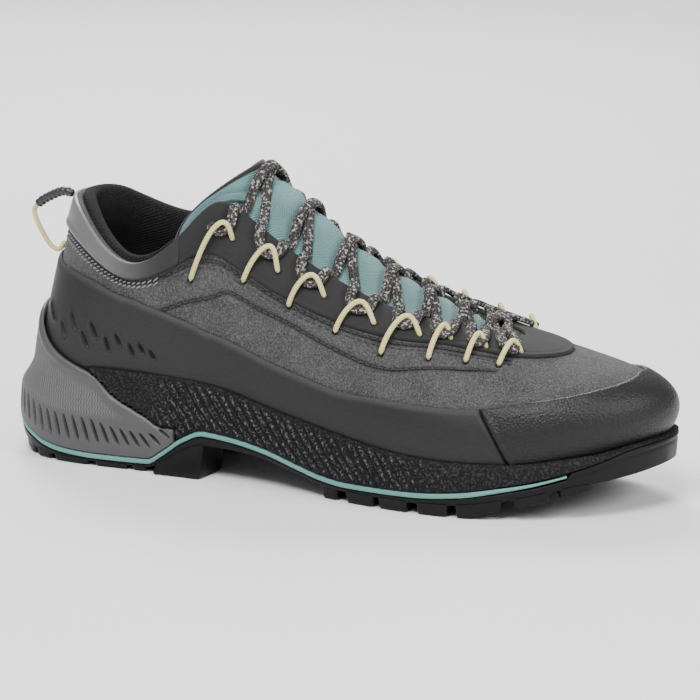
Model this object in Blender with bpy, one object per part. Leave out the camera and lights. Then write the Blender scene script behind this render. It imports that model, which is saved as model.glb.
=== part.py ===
"""Approach shoe for the right foot, built as an assembly of separate solids.

A place on the shoe is given in millimetres: x ahead of the heel's back, y towards the inner
side and z up from the floor. The way round the last, u, runs from 0 at the heel's back along
the outer side to 0.5 at the toe and along the inner side to 1. The way up the upper, v, runs
from 0 at the footbed to 1 at the topline. The share of the way from heel to toe is 2u or
2(1 - u), the same for both sides.
"""
import bmesh
import bpy
import numpy as np

MM = 0.001
GAP = 0.3
HEEL_REST_X = 40.0

# Round the last: places of the sections, closer together at the heel and the toe
RING_COUNT = 56
RING_CROWDING = 0.35
RING_EXTRA_X = (80.5, 82.0, 243.0, 244.5)
SLIVER = 0.02

# Depths across the upper's wall, outwards from its outer face
WALL = 2.0
RAND_TOP = 1.7
CAP_TOP = 1.7
RAND_FOOT = 0.5
FACING_TOP = 1.3
PANEL_TOP = 1.6
CUP_FACE = RAND_TOP + GAP

# The sections of the last. The sole's edge and how far the footbed is tucked in from it, the
# topline, then the handles of the curve between them: up and out from the footbed, and down
# and out from the topline.
RIB_COLUMNS = ("edge_x", "edge_y", "tuck", "top_x", "top_y", "top_z",
               "rise", "swell", "drop", "spread")
OUTER_RIBS = (
    (0, 0, 12, 24, 0, 101, 22, 0, 20, 7),
    (2.5, -13, 11, 27, -9, 100.5, 22, 0, 20, 6),
    (9, -23.5, 9, 32.5, -16.5, 98, 22, 1, 20, 5),
    (24, -32, 7, 41, -23.5, 92, 20, 3, 18, 5),
    (50, -34.5, 6, 55, -30, 83, 16, 3, 16, 3),
    (72, -34, 6, 70, -30.5, 83.5, 16, 3, 16, 3),
    (88, -34, 6, 85, -27.5, 97, 24, 3, 24, 5),
    (98, -34.6, 6, 94, -22.5, 106, 28, 3, 26, 8),
    (110, -35.5, 6, 105, -18, 101, 28, 3.5, 22, 11),
    (126, -37.8, 6, 121, -16.5, 89.5, 25, 4, 15, 13),
    (146, -41.2, 6, 141, -15, 78.5, 22, 5, 10, 15),
    (170, -45.5, 6, 164, -13.5, 69, 20, 6, 6, 18),
    (198, -47, 6, 187, -10.5, 64, 18, 7, 5, 22),
    (224, -42, 6.5, 201, -7, 61.5, 19, 8, 5, 25),
    (246, -31, 8, 208, -3, 60.2, 21, 16, 6, 29),
    (262, -15, 9, 210, -0.5, 59.8, 25, 22, 8, 33),
)
INNER_RIBS = (
    (270, 6, 9, 211, 2, 59.6, 26, 25, 8, 36),
    (267, 20, 9, 209.5, 4.5, 60, 25, 22, 8, 33),
    (255, 33.5, 8, 206, 6.5, 60.8, 21, 16, 6, 29),
    (235, 42.5, 6.5, 199, 9, 62.2, 19, 8, 5, 25),
    (210, 46.5, 6, 187, 12, 65, 18, 6, 5, 22),
    (183, 45.5, 6, 166, 15, 70.5, 20, 6, 6, 18),
    (155, 40.5, 6, 142, 16.5, 80.5, 22, 5, 10, 15),
    (130, 35, 6, 121, 17.5, 92, 25, 4, 15, 13),
    (112, 32, 6, 105, 19.5, 103.5, 28, 3.5, 22, 11),
    (99, 31.4, 6, 94, 23.5, 108, 28, 3, 26, 8),
    (86, 31.5, 6, 83, 27.5, 101, 26, 3, 24, 5),
    (68, 33, 6, 68, 29.5, 91, 20, 3, 18, 3),
    (46, 33.2, 6, 52, 29, 90, 20, 3, 18, 3),
    (24, 31, 7, 36, 23.5, 96.5, 22, 3, 20, 5),
    (9, 23, 9, 29, 15.5, 100, 22, 1, 20, 5),
    (2.5, 13, 11, 25.5, 8.5, 101, 22, 0, 20, 6),
)
TOP_HANDLE_TURN = 25.0
HALVINGS = 20

# Two lines along the upper, as heights v: the top of the rand and of the toe cap, and the
# bottom of the collar panel and of the facing
LINE_COLUMNS = ("share", "rand_line", "facing_line")
LINES = (
    (0.0, 0.66, 0.80),
    (0.075, 0.66, 0.83),
    (0.142, 0.71, 0.855),
    (0.20, 0.745, 0.865),
    (0.255, 0.73, 0.865),
    (0.29, 0.66, 0.86),
    (0.338, 0.49, 0.825),
    (0.365, 0.39, 0.765),
    (0.40, 0.35, 0.715),
    (0.46, 0.33, 0.70),
    (0.535, 0.33, 0.71),
    (0.62, 0.375, 0.755),
    (0.70, 0.40, 0.81),
    (0.745, 0.41, 0.81),
    (0.81, 0.46, 0.795),
    (0.88, 0.485, 0.80),
    (0.95, 0.51, 0.81),
    (1.0, 0.55, 0.82),
)
RAND_STEPS = 4
QUARTER_STEPS = 3
FACING_STEPS = 2

# Heights along the sole, by x: bottom of the lugs, bottom of the outsole's plate, middle of
# the coloured stripe at the edge, top of the plate inside, width of the plate's edge, rim of
# the midsole, top of the heel cradle or of the step that carries on from it, and the footbed
SOLE_COLUMNS = ("x", "tread", "plate", "stripe", "deck", "shelf", "rim", "cradle", "foot")
SOLE = (
    (0, 5.0, 9.5, 15.0, 16.0, 4.6, 31.0, 58.5, 28.0),
    (5, 2.5, 7.5, 13.0, 14.0, 4.6, 31.2, 57.0, 28.0),
    (11, 0.7, 5.0, 10.3, 11.3, 4.6, 31.6, 53.0, 28.0),
    (16, 0.0, 3.2, 8.3, 9.3, 4.6, 32.2, 49.5, 28.0),
    (22, 0.0, 2.2, 6.2, 7.2, 4.6, 33.2, 45.5, 28.0),
    (30, 0.0, 1.9, 4.8, 5.8, 4.6, 36.5, 41.5, 28.0),
    (38, 0.0, 1.6, 4.2, 5.2, 4.6, 38.7, 38.6, 28.0),
    (45, 0.0, 1.5, 3.9, 4.9, 4.6, 38.8, 36.0, 28.0),
    (54, 0.0, 1.5, 3.9, 4.9, 4.6, 38.9, 28.5, 27.8),
    (64, 0.0, 1.6, 4.0, 5.0, 4.6, 38.8, 23.5, 27.4),
    (69, 0.0, 1.7, 4.1, 5.1, 4.6, 38.7, 21.2, 27.2),
    (75, 0.0, 4.0, 7.6, 8.6, 4.6, 38.5, 18.2, 26.8),
    (84, 0.0, 9.5, 14.0, 15.0, 4.6, 38.0, 18.6, 26.2),
    (93, 0.0, 12.7, 17.6, 18.6, 4.6, 37.0, 21.8, 25.4),
    (101, 0.0, 12.6, 17.1, 18.1, 4.6, 35.8, 21.6, 24.8),
    (119, 0.0, 11.0, 14.5, 15.5, 4.6, 31.5, 19.0, 23.0),
    (137, 0.0, 7.0, 9.9, 10.9, 4.6, 28.0, 15.0, 21.0),
    (146, 0.0, 4.6, 7.8, 8.8, 4.6, 26.4, 13.0, 20.0),
    (157, 0.0, 3.8, 6.7, 7.7, 4.6, 24.6, 11.5, 18.8),
    (185, 0.0, 3.8, 7.1, 8.1, 4.6, 21.3, 11.0, 17.0),
    (205, 0.0, 4.6, 8.8, 9.8, 4.6, 20.7, 12.0, 17.0),
    (220, 3.4, 7.0, 11.5, 12.5, 4.6, 20.9, 14.0, 17.6),
    (231, 5.7, 9.0, 13.7, 14.7, 4.6, 21.5, 16.2, 18.2),
    (238, 7.4, 10.8, 15.5, 15.6, 4.6, 22.5, 17.8, 18.8),
    (245, 9.2, 12.4, 17.6, 16.2, 4.4, 23.4, 20.2, 19.6),
    (253, 12.0, 13.6, 20.5, 16.8, 2.5, 24.4, 23.0, 20.6),
    (262, 15.0, 15.3, 24.2, 18.0, 2.4, 26.6, 26.1, 21.8),
    (270, 17.2, 17.2, 26.0, 19.2, 2.4, 28.2, 27.7, 23.0),
)
STRIPE_HALF = 1.0
STRIPE_DEPTH = 4.0
STRIPE_INSET = 0.3
STRIPE_END_X = 243.0
SILL_RAMP_X = (243.0, 244.5)
EDGE_INSET = 0.5
RIM_INSET = 1.5

# The heel cradle: its thickness, its front end and how it leans in against the rand
CRADLE_THICK = 2.0
CRADLE_END_X = 80.5
COVER_END_X = (80.5, 82.0)
COVER_TOP_X = (42.0, 44.0)
HUG_HEIGHT = (26.0, 39.0)
HUG_X = (60.0, 84.0)
HUG_FACE = CUP_FACE + CRADLE_THICK
CRADLE_ROWS = (0.0, 0.25, 0.5, 0.75, 1.0)
MIDSOLE_ROWS = (0.5, 1.0)
RIB_SHARE = (0.24, 0.66)
RIB_STAND = 0.6
RIB_ENDS = (0.15, 0.85)
RIB_LEAN = (0.38, 0.62)

# Lugs along the sole's edge: side, back and front x, outer and inner inset, outward flare
LUG_COLUMNS = ("side", "back_x", "front_x", "outer", "inner", "flare")
EDGE_LUGS = (
    ("outer", 7, 15, 2.0, 14, 0), ("outer", 17, 25, 1.2, 13, 0),
    ("outer", 27, 43, 1.0, 13, 0), ("outer", 46, 60, 1.0, 13, 0),
    ("outer", 62, 68, 1.0, 12, 0), ("outer", 72, 93, 0.9, 17, 3.0),
    ("outer", 146, 153, 1.4, 13, 0), ("outer", 157, 169.5, 1.0, 14, 0),
    ("outer", 171.5, 184, 1.0, 14, 0), ("outer", 188, 200.5, 1.0, 14, 0),
    ("outer", 203.5, 221, 1.0, 14, 0), ("outer", 225, 237.5, 1.0, 13, 0),
    ("outer", 241, 251, 1.0, 12, 0),
    ("inner", 7, 15, 2.0, 14, 0), ("inner", 17, 25, 1.2, 13, 0),
    ("inner", 27, 43, 1.0, 13, 0), ("inner", 46, 60, 1.0, 13, 0),
    ("inner", 62, 68, 1.0, 12, 0), ("inner", 72, 93, 0.9, 16, 1.5),
    ("inner", 146, 156, 1.4, 13, 0), ("inner", 159, 171, 1.0, 14, 0),
    ("inner", 174, 186, 1.0, 14, 0), ("inner", 189, 201, 1.0, 14, 0),
    ("inner", 204, 216, 1.0, 14, 0), ("inner", 219, 231, 1.0, 13, 0),
    ("inner", 235, 247, 1.0, 12, 0),
)
ROUND_LUG_COLUMNS = ("x", "y", "radius")
ROUND_LUGS = (
    (24, 0, 6), (40, 0, 7), (57, -9, 5.5), (57, 9, 5.5),
    (162, -13, 5.5), (162, 6, 5.5), (174, -22, 5.5), (174, -4, 5.5), (174, 18, 5.5),
    (187, -13, 5.5), (187, 6, 7), (187, 24, 5), (200, -22, 5.5), (200, -5, 5.5),
    (200, 18, 5.5), (213, -13, 5.5), (213, 6, 5.5), (226, -5, 5.5), (226, 14, 5.5),
)
ROUND_LUG_SIDES = 6
LUG_ROOT = 0.6
LUG_DRAFT = 0.5

# Insole
INSOLE_THICK = 4.2
INSOLE_DISH = 1.4
INSOLE_DISH_WIDTH = 7.0
INSOLE_FIT = WALL + 1.2

# Collar lining: its section as heights v, lifts above the topline and depths
LINING_END_SHARE = 0.30
LINING_COLUMNS = ("v", "lift", "depth")
LINING = (
    (0.56, 0.0, -2.3), (0.74, 0.0, -2.3), (0.88, 0.0, -2.3), (1.0, 0.0, -2.3),
    (1.0, 2.3, -3.2), (1.0, 2.9, -5.0), (1.0, 1.6, -7.0),
    (0.96, 0.0, -8.2), (0.86, 0.0, -8.4), (0.72, 0.0, -6.4), (0.56, 0.0, -3.9),
)

# Tongue: a row per cross line, from its top to its foot. The share gives the two places where
# it leaves the throat's edges, then come its middle and how deep its wings lie.
TONGUE_COLUMNS = ("share", "ridge_x", "ridge_z", "depth")
TONGUE = (
    (0.318, 101, 118, -4.0),
    (0.333, 105, 114.2, -3.8),
    (0.352, 111, 109, -3.6),
    (0.38, 119, 102.6, -3.4),
    (0.42, 129, 95, -3.2),
    (0.47, 141, 86.6, -3.2),
    (0.53, 155, 78.9, -3.2),
    (0.60, 169, 72.9, -3.2),
    (0.67, 182, 68.6, -3.2),
    (0.75, 195, 64.2, -3.2),
    (0.84, 205, 60.4, -3.2),
    (0.93, 210, 56.8, -3.7),
)
TONGUE_WINGS = (0.80, 0.90, 1.0)
TONGUE_THICK = 3.0
TONGUE_ACROSS = 13
TONGUE_MIDDLE_Y = 1.0

# Lace loops: where each cord leaves the facing, its peak and where it goes in again
LOOP_COLUMNS = ("leg_share", "leg_v", "peak_share", "peak_v", "foot_share", "foot_v")
LOOPS = (
    (0.343, 0.700, 0.380, 0.890, 0.397, 0.835),
    (0.412, 0.660, 0.443, 0.910, 0.458, 0.820),
    (0.475, 0.665, 0.498, 0.885, 0.520, 0.830),
    (0.540, 0.650, 0.565, 0.865, 0.590, 0.805),
    (0.605, 0.630, 0.628, 0.880, 0.653, 0.830),
    (0.670, 0.685, 0.684, 0.880, 0.698, 0.860),
    (0.725, 0.715, 0.745, 0.865, 0.762, 0.845),
    (0.780, 0.720, 0.812, 0.835, 0.838, 0.835),
)
CORD_RADIUS = 1.0
LOOP_SIDES = 5
LOOP_STEPS = 6
LOOP_LOW = 2.65
LOOP_STAND = 2.6

# Laces: where they turn beside each loop, and their height over the tongue
LACE_RADIUS = 1.7
LACE_SIDES = 5
LACE_STEPS = 4
TURN_BEYOND_V = 0.055
TURN_DEPTH = 5.4
LACE_OVER_TONGUE = 1.6
THROAT_Z = 60.4

# Pull loop at the heel: a cord and the sleeve on its upper part
PULL_Y = -1.0
PULL_CORD = ((3.2, 92.3), (3.5, 89.4), (5.0, 85.8), (7.4, 81.8), (10.6, 77.9), (13.4, 76.8),
             (16.6, 80.4))
PULL_SLEEVE = ((20.9, 99.4), (17.0, 100.3), (11.5, 98.4), (6.8, 95.8), (4.4, 93.8))
PULL_SLEEVE_RADIUS = 2.0
PULL_SIDES = 6
PULL_STEPS = 9

# Finishes: colour, roughness
FINISHES = {
    "outsole_rubber": ((0.018, 0.018, 0.019), 0.55),
    "stripe_foam": ((0.23, 0.43, 0.40), 0.5),
    "midsole_foam": ((0.020, 0.020, 0.021), 0.75),
    "cradle_plastic": ((0.12, 0.12, 0.12), 0.45),
    "suede": ((0.075, 0.075, 0.076), 0.9),
    "rand_plastic": ((0.040, 0.040, 0.041), 0.5),
    "cap_rubber": ((0.028, 0.028, 0.029), 0.45),
    "facing_fabric": ((0.030, 0.030, 0.031), 0.75),
    "panel_plastic": ((0.14, 0.14, 0.145), 0.4),
    "lining_knit": ((0.025, 0.025, 0.026), 0.95),
    "tongue_fabric": ((0.22, 0.40, 0.39), 0.85),
    "insole_foam": ((0.03, 0.03, 0.031), 0.9),
    "lace_cord": ((0.12, 0.11, 0.11), 0.8),
    "loop_cord": ((0.74, 0.72, 0.42), 0.6),
    "pull_sleeve": ((0.03, 0.03, 0.03), 0.6),
}


def columns(rows, names):
    """The table's columns as arrays, by name."""
    return dict(zip(names, np.array(rows, float).T))


def cubic(knots, values, at, period=0.0):
    """Cubic spline through the knots, natural at its ends or closed over the period."""
    knots = np.asarray(knots, float)
    values = np.asarray(values, float)
    at = np.asarray(at, float)
    if period:
        knots = np.append(knots, knots[0] + period)
        values = np.append(values, values[0])
        at = (at - knots[0]) % period + knots[0]
    step = np.diff(knots)
    slope = np.diff(values) / step
    count = len(knots)
    system = np.zeros((count, count))
    right = np.zeros(count)
    for k in range(1, count - 1):
        system[k, k - 1:k + 2] = step[k - 1], 2 * (step[k - 1] + step[k]), step[k]
        right[k] = 6 * (slope[k] - slope[k - 1])
    if period:
        system[0, 0], system[0, -1] = 1, -1
        system[-1, :2] = 2 * step[0], step[0]
        system[-1, -2:] = step[-1], 2 * step[-1]
        right[-1] = 6 * (slope[0] - slope[-1])
    else:
        system[0, 0] = system[-1, -1] = 1
    bend = np.linalg.solve(system, right)
    k = np.clip(np.searchsorted(knots, at, side="right") - 1, 0, count - 2)
    ahead = at - knots[k]
    behind = knots[k + 1] - at
    return ((bend[k] * behind ** 3 + bend[k + 1] * ahead ** 3) / (6 * step[k])
            + (values[k] / step[k] - bend[k] * step[k] / 6) * behind
            + (values[k + 1] / step[k] - bend[k + 1] * step[k] / 6) * ahead)


def monotone(knots, values, at):
    """Curve through the knots that never overshoots them."""
    step = np.diff(knots)
    slope = np.diff(values) / step
    near, far = slope[:-1], slope[1:]
    heavy = 2 * step[1:] + step[:-1]
    light = step[1:] + 2 * step[:-1]
    same_way = near * far > 0
    safe_near = np.where(same_way, near, 1.0)
    safe_far = np.where(same_way, far, 1.0)
    inner = np.where(same_way, (heavy + light) / (heavy / safe_near + light / safe_far), 0.0)
    tangent = np.concatenate([slope[:1], inner, slope[-1:]])
    at = np.clip(at, knots[0], knots[-1])
    k = np.clip(np.searchsorted(knots, at, side="right") - 1, 0, len(knots) - 2)
    t = (at - knots[k]) / step[k]
    return ((1 + 2 * t) * (1 - t) ** 2 * values[k] + t * (1 - t) ** 2 * step[k] * tangent[k]
            + t * t * (3 - 2 * t) * values[k + 1] + t * t * (t - 1) * step[k] * tangent[k + 1])


def ramp(value, span):
    """Smooth step from 0 to 1 over the span."""
    t = np.clip((value - span[0]) / (span[1] - span[0]), 0.0, 1.0)
    return t * t * (3 - 2 * t)


def rib_knots():
    """Where the sections stand round the last: each side's chords fill half of the way."""
    halves = (OUTER_RIBS + INNER_RIBS[:1], INNER_RIBS + OUTER_RIBS[:1])
    knots = []
    for start, rows in zip((0.0, 0.5), halves):
        edge = np.array([row[:2] for row in rows], float)
        chords = np.cumsum(np.hypot(*np.diff(edge, axis=0).T))
        knots.append(start + 0.5 * np.append(0.0, chords[:-1]) / chords[-1])
    return np.concatenate(knots)


KNOTS = rib_knots()
RIBS = columns(OUTER_RIBS + INNER_RIBS, RIB_COLUMNS)
LINE = columns(LINES, LINE_COLUMNS)
SIDE = columns(SOLE, SOLE_COLUMNS)


def rib_value(name, u):
    """A column of the sections' table at the way round u."""
    return cubic(KNOTS, RIBS[name], u, 1.0)


def at_share(name, u):
    """One of the upper's lines at the way round u."""
    round_once = np.mod(u, 1.0)
    share = 2 * np.minimum(round_once, 1 - round_once)
    return monotone(LINE["share"], LINE[name], share)


def along(name, x):
    """A column of the sole's table at x."""
    return monotone(SIDE["x"], SIDE[name], x)


def edge(u):
    """Plan of the sole's edge."""
    return np.stack([rib_value("edge_x", u), rib_value("edge_y", u)], -1)


def outward(u):
    """Level direction out of the sole's edge."""
    small = 1e-4
    ahead = edge(np.asarray(u) + small) - edge(np.asarray(u) - small)
    ahead /= np.linalg.norm(ahead, axis=-1, keepdims=True)
    return np.stack([ahead[..., 1], -ahead[..., 0], np.zeros(ahead.shape[:-1])], -1)


def edge_point(u, inset, z):
    """Point at height z, inset from the sole's edge."""
    u, inset, z = np.broadcast_arrays(np.asarray(u, float), inset, z)
    flat = np.concatenate([edge(u), z[..., None]], -1)
    return flat - inset[..., None] * outward(u)


def upper_face(u, v):
    """Point on the outer face of the upper."""
    u, v = np.broadcast_arrays(np.asarray(u, float), np.asarray(v, float))
    out = outward(u)
    up = np.array([0.0, 0.0, 1.0])
    foot = edge_point(u, rib_value("tuck", u), along("foot", rib_value("edge_x", u)))
    top = np.stack([rib_value(name, u) for name in ("top_x", "top_y", "top_z")], -1)
    away = (foot - top) * (1, 1, 0) + TOP_HANDLE_TURN * out
    away /= np.linalg.norm(away, axis=-1, keepdims=True)
    low = foot + rib_value("rise", u)[..., None] * up + rib_value("swell", u)[..., None] * out
    high = top - rib_value("drop", u)[..., None] * up + rib_value("spread", u)[..., None] * away
    v = v[..., None]
    return ((1 - v) ** 3 * foot + 3 * (1 - v) ** 2 * v * low
            + 3 * (1 - v) * v * v * high + v ** 3 * top)


def skin(u, v, depth=0.0):
    """Point on the upper, moved square to its face by the depth."""
    small = 1e-3
    u, v, depth = np.broadcast_arrays(np.asarray(u, float), np.asarray(v, float), depth)
    round_way = upper_face(u + small, v) - upper_face(u - small, v)
    up_way = upper_face(u, v + small) - upper_face(u, v - small)
    normal = np.cross(round_way, up_way)
    normal /= np.linalg.norm(normal, axis=-1, keepdims=True)
    return upper_face(u, v) + depth[..., None] * normal


def height_on_upper(u, z, depth=0.0):
    """The v at which the upper, moved out by the depth, reaches the height z."""
    u, z = np.broadcast_arrays(np.asarray(u, float), np.asarray(z, float))
    low = np.zeros(u.shape)
    high = np.ones(u.shape)
    for _ in range(HALVINGS):
        middle = (low + high) / 2
        below = skin(u, middle, depth)[..., 2] < z
        low = np.where(below, middle, low)
        high = np.where(below, high, middle)
    return (low + high) / 2


def sill(x):
    """Top of the outsole at its edge: under the stripe, then up to the deck at the toe."""
    under = along("stripe", x) - STRIPE_HALF - GAP
    return under + ramp(x, SILL_RAMP_X) * (2 * STRIPE_HALF + GAP)


def midsole_base(x):
    """Bottom of the midsole at its edge."""
    return along("stripe", x) + STRIPE_HALF + GAP


def sole_wall(u, z, depth):
    """Point on the side of the sole at height z, the depth inside its outer face."""
    x = rib_value("edge_x", u)
    base = midsole_base(x)
    climb = np.clip((z - base) / (along("rim", x) - base), 0.0, 1.0)
    plain = edge_point(u, RIM_INSET * climb ** 2 + depth, z)
    hug = skin(u, height_on_upper(u, z, HUG_FACE - depth), HUG_FACE - depth)
    hug[..., 2] = z
    weight = (ramp(z, HUG_HEIGHT) * (1 - ramp(x, HUG_X)))[..., None]
    return plain * (1 - weight) + hug * weight


def ring():
    """The places of the sections round the last."""
    even = np.arange(RING_COUNT) / RING_COUNT
    crowded = even - RING_CROWDING * np.sin(4 * np.pi * even) / (4 * np.pi)
    extra = [place_of(x, side) for x in RING_EXTRA_X for side in ("outer", "inner")]
    return np.sort(np.append(crowded, extra))


def ring_between(start, stop):
    """The ring's places between two ends, with the ends themselves."""
    places = np.concatenate([ring() - 1, ring(), ring() + 1])
    clear = SLIVER / RING_COUNT
    inside = places[(places > start + clear) & (places < stop - clear)]
    return np.concatenate([[start], inside, [stop]])


def place_of(x, side):
    """The way round at which the sole's edge passes x on one side."""
    ways = np.linspace(0.0, 0.5, 801) if side == "outer" else np.linspace(1.0, 0.5, 801)
    return np.interp(x, rib_value("edge_x", ways), ways)


def placed(points):
    """Shoe millimetres to metres with the heel's rest at the origin."""
    return (np.asarray(points, float) - (HEEL_REST_X, 0, 0)) * MM


def finish_of(name):
    """The named material."""
    known = bpy.data.materials.get(name)
    if known:
        return known
    colour, roughness = FINISHES[name]
    material = bpy.data.materials.new(name)
    material.use_nodes = True
    shader = material.node_tree.nodes["Principled BSDF"]
    shader.inputs["Base Color"].default_value = (*colour, 1.0)
    shader.inputs["Roughness"].default_value = roughness
    shader.inputs["Metallic"].default_value = 0.0
    material.diffuse_color = (*colour, 1.0)
    return material


def add_solid(name, points, faces, finish):
    """A closed mesh as a named object."""
    mesh = bpy.data.meshes.new(name)
    mesh.from_pydata([tuple(point) for point in placed(points)], [], faces)
    work = bmesh.new()
    work.from_mesh(mesh)
    bmesh.ops.recalc_face_normals(work, faces=work.faces)
    work.to_mesh(mesh)
    work.free()
    mesh.materials.append(finish_of(finish))
    body = bpy.data.objects.new(name, mesh)
    bpy.context.scene.collection.objects.link(body)
    return body


def wall_faces(rows, places, rows_closed, places_closed):
    """Triangles of a grid. The second half of a closed section repeats the first half's
    diagonals, so that the two faces of a layer have the same facets."""
    faces = []
    for row in range(rows if rows_closed else rows - 1):
        above = (row + 1) % rows
        mirrored = rows_closed and row >= rows // 2
        for place in range(places if places_closed else places - 1):
            beyond = (place + 1) % places
            a, b = row * places + place, row * places + beyond
            c, d = above * places + beyond, above * places + place
            faces += [(a, b, d), (b, c, d)] if mirrored else [(a, b, c), (a, c, d)]
    return faces


def add_layer(name, section_rows, finish, closed=False):
    """Solid whose section is a closed loop of rows: the outer face's rows upwards, then the
    inner face's rows downwards. Its ends are closed between the rows that face each other."""
    grid = np.stack(section_rows)
    rows, places = grid.shape[:2]
    faces = wall_faces(rows, places, True, closed)
    if not closed:
        for row in range(rows // 2 - 1):
            far = rows - 1 - row
            for end in (0, places - 1):
                a, b = row * places + end, (row + 1) * places + end
                c, d = (far - 1) * places + end, far * places + end
                faces += [(a, b, c), (a, c, d)]
    return add_solid(name, grid.reshape(-1, 3), faces, finish)


def cross_strips(first, places):
    """Triangles that close a ring by lines across the shoe."""
    faces = []
    for near in range(places // 2):
        a, b = first + near, first + near + 1
        c, d = first + (places - near - 1) % places, first + (places - near) % places
        if a != d:
            faces.append((a, b, d))
        if b != c:
            faces.append((b, c, d))
    return faces


def add_stack(name, rings, finish, roofs=()):
    """Solid of rings one above another, closed across at the first and the last. A roof is a
    rib over one patch of the wall: row, place and its two ridge points."""
    grid = np.stack(rings)
    rows, places = grid.shape[:2]
    points = [grid.reshape(-1, 3)]
    faces = wall_faces(rows, places, False, True)
    count = rows * places
    for row, place, low, high in roofs:
        first = 2 * (row * places + place)
        beyond = (place + 1) % places
        a, b = row * places + place, row * places + beyond
        c, d = a + places, b + places
        points.append(np.stack([low, high]))
        p, q = count, count + 1
        count += 2
        faces[first:first + 2] = [None, None]
        faces += [(a, b, p), (b, d, q), (b, q, p), (d, c, q), (c, a, p), (c, p, q)]
    faces = [face for face in faces if face is not None]
    faces += cross_strips(0, places) + cross_strips((rows - 1) * places, places)
    return add_solid(name, np.concatenate(points), faces, finish)


def add_tube(name, path, radius, sides, finish):
    """Round cord along a path, with flat ends."""
    path = np.asarray(path, float)
    ways = np.gradient(path, axis=0)
    ways /= np.linalg.norm(ways, axis=1, keepdims=True)
    across = np.cross(ways[0], (0.0, 0.0, 1.0))
    if np.linalg.norm(across) < 0.1:
        across = np.cross(ways[0], (0.0, 1.0, 0.0))
    turns = 2 * np.pi * np.arange(sides) / sides
    rings = []
    for point, way in zip(path, ways):
        across = across - way * (across @ way)
        across /= np.linalg.norm(across)
        other = np.cross(way, across)
        rings.append(point + radius * (np.cos(turns)[:, None] * across
                                       + np.sin(turns)[:, None] * other))
    grid = np.stack(rings)
    last = (len(path) - 1) * sides
    faces = wall_faces(len(path), sides, False, True)
    faces += [tuple(range(sides)), tuple(range(last, last + sides))]
    return add_solid(name, grid.reshape(-1, 3), faces, finish)


def fuse(body, added):
    """Join the added solids to the body."""
    added.hide_render = True
    added.display_type = "WIRE"
    union = body.modifiers.new("joined", "BOOLEAN")
    union.operation = "UNION"
    union.solver = "EXACT"
    union.object = added


def make_outsole():
    u = ring()
    x = rib_value("edge_x", u)
    plate, top = along("plate", x), sill(x)
    shelf = along("shelf", x)
    body = add_stack("outsole", [
        edge_point(u, 3.0, plate),
        edge_point(u, 1.2, plate + GAP),
        edge_point(u, EDGE_INSET, top),
        edge_point(u, shelf, top),
        edge_point(u, shelf + GAP, along("deck", x)),
    ], "outsole_rubber")
    points, faces = [], []
    for lug in EDGE_LUGS:
        lug = dict(zip(LUG_COLUMNS, lug))
        back, front = (place_of(lug[name], lug["side"]) for name in ("back_x", "front_x"))
        ways = np.array([back, front, front, back])
        x = rib_value("edge_x", ways)
        insets = np.array([lug["outer"], lug["outer"], lug["inner"], lug["inner"]])
        flare = np.array([lug["flare"], lug["flare"], 0, 0])
        low = edge_point(ways, insets - flare, along("tread", x))
        high = edge_point(ways, insets, along("plate", x) + LUG_ROOT)
        centre = low[:, :2].mean(axis=0)
        low[:, :2] += LUG_DRAFT * np.sign(centre - low[:, :2])
        low[:, 2] = np.maximum(low[:, 2], 0.0)
        add_prism(points, faces, low, high)
    for lug in ROUND_LUGS:
        lug = dict(zip(ROUND_LUG_COLUMNS, lug))
        turns = 2 * np.pi * (np.arange(ROUND_LUG_SIDES) + 0.5) / ROUND_LUG_SIDES
        spokes = np.stack([np.cos(turns), np.sin(turns)], -1)
        centre = np.array([lug["x"], lug["y"]])
        flat_low = centre + (lug["radius"] - LUG_DRAFT) * spokes
        flat_high = centre + lug["radius"] * spokes
        low = np.column_stack([flat_low, along("tread", flat_low[:, 0])])
        high = np.column_stack([flat_high, along("plate", flat_high[:, 0]) + LUG_ROOT])
        add_prism(points, faces, low, high)
    fuse(body, add_solid("outsole_lugs", np.array(points), faces, "outsole_rubber"))


def add_prism(points, faces, low, high):
    """Append a prism between two outlines to the lists."""
    first, sides = len(points), len(low)
    points.extend(low)
    points.extend(high)
    faces.append(tuple(range(first, first + sides)))
    faces.append(tuple(range(first + sides, first + 2 * sides)))
    for side in range(sides):
        beyond = (side + 1) % sides
        faces.append((first + side, first + beyond, first + sides + beyond,
                      first + sides + side))


def make_stripe():
    end = place_of(STRIPE_END_X, "outer")
    start = place_of(STRIPE_END_X, "inner") - 1
    u = ring_between(start, end)
    stripe = along("stripe", rib_value("edge_x", u))
    outer, inner = STRIPE_INSET, STRIPE_INSET + STRIPE_DEPTH
    add_layer("side_stripe", [
        edge_point(u, outer, stripe - STRIPE_HALF), edge_point(u, outer, stripe + STRIPE_HALF),
        edge_point(u, inner, stripe + STRIPE_HALF), edge_point(u, inner, stripe - STRIPE_HALF),
    ], "stripe_foam")


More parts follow.
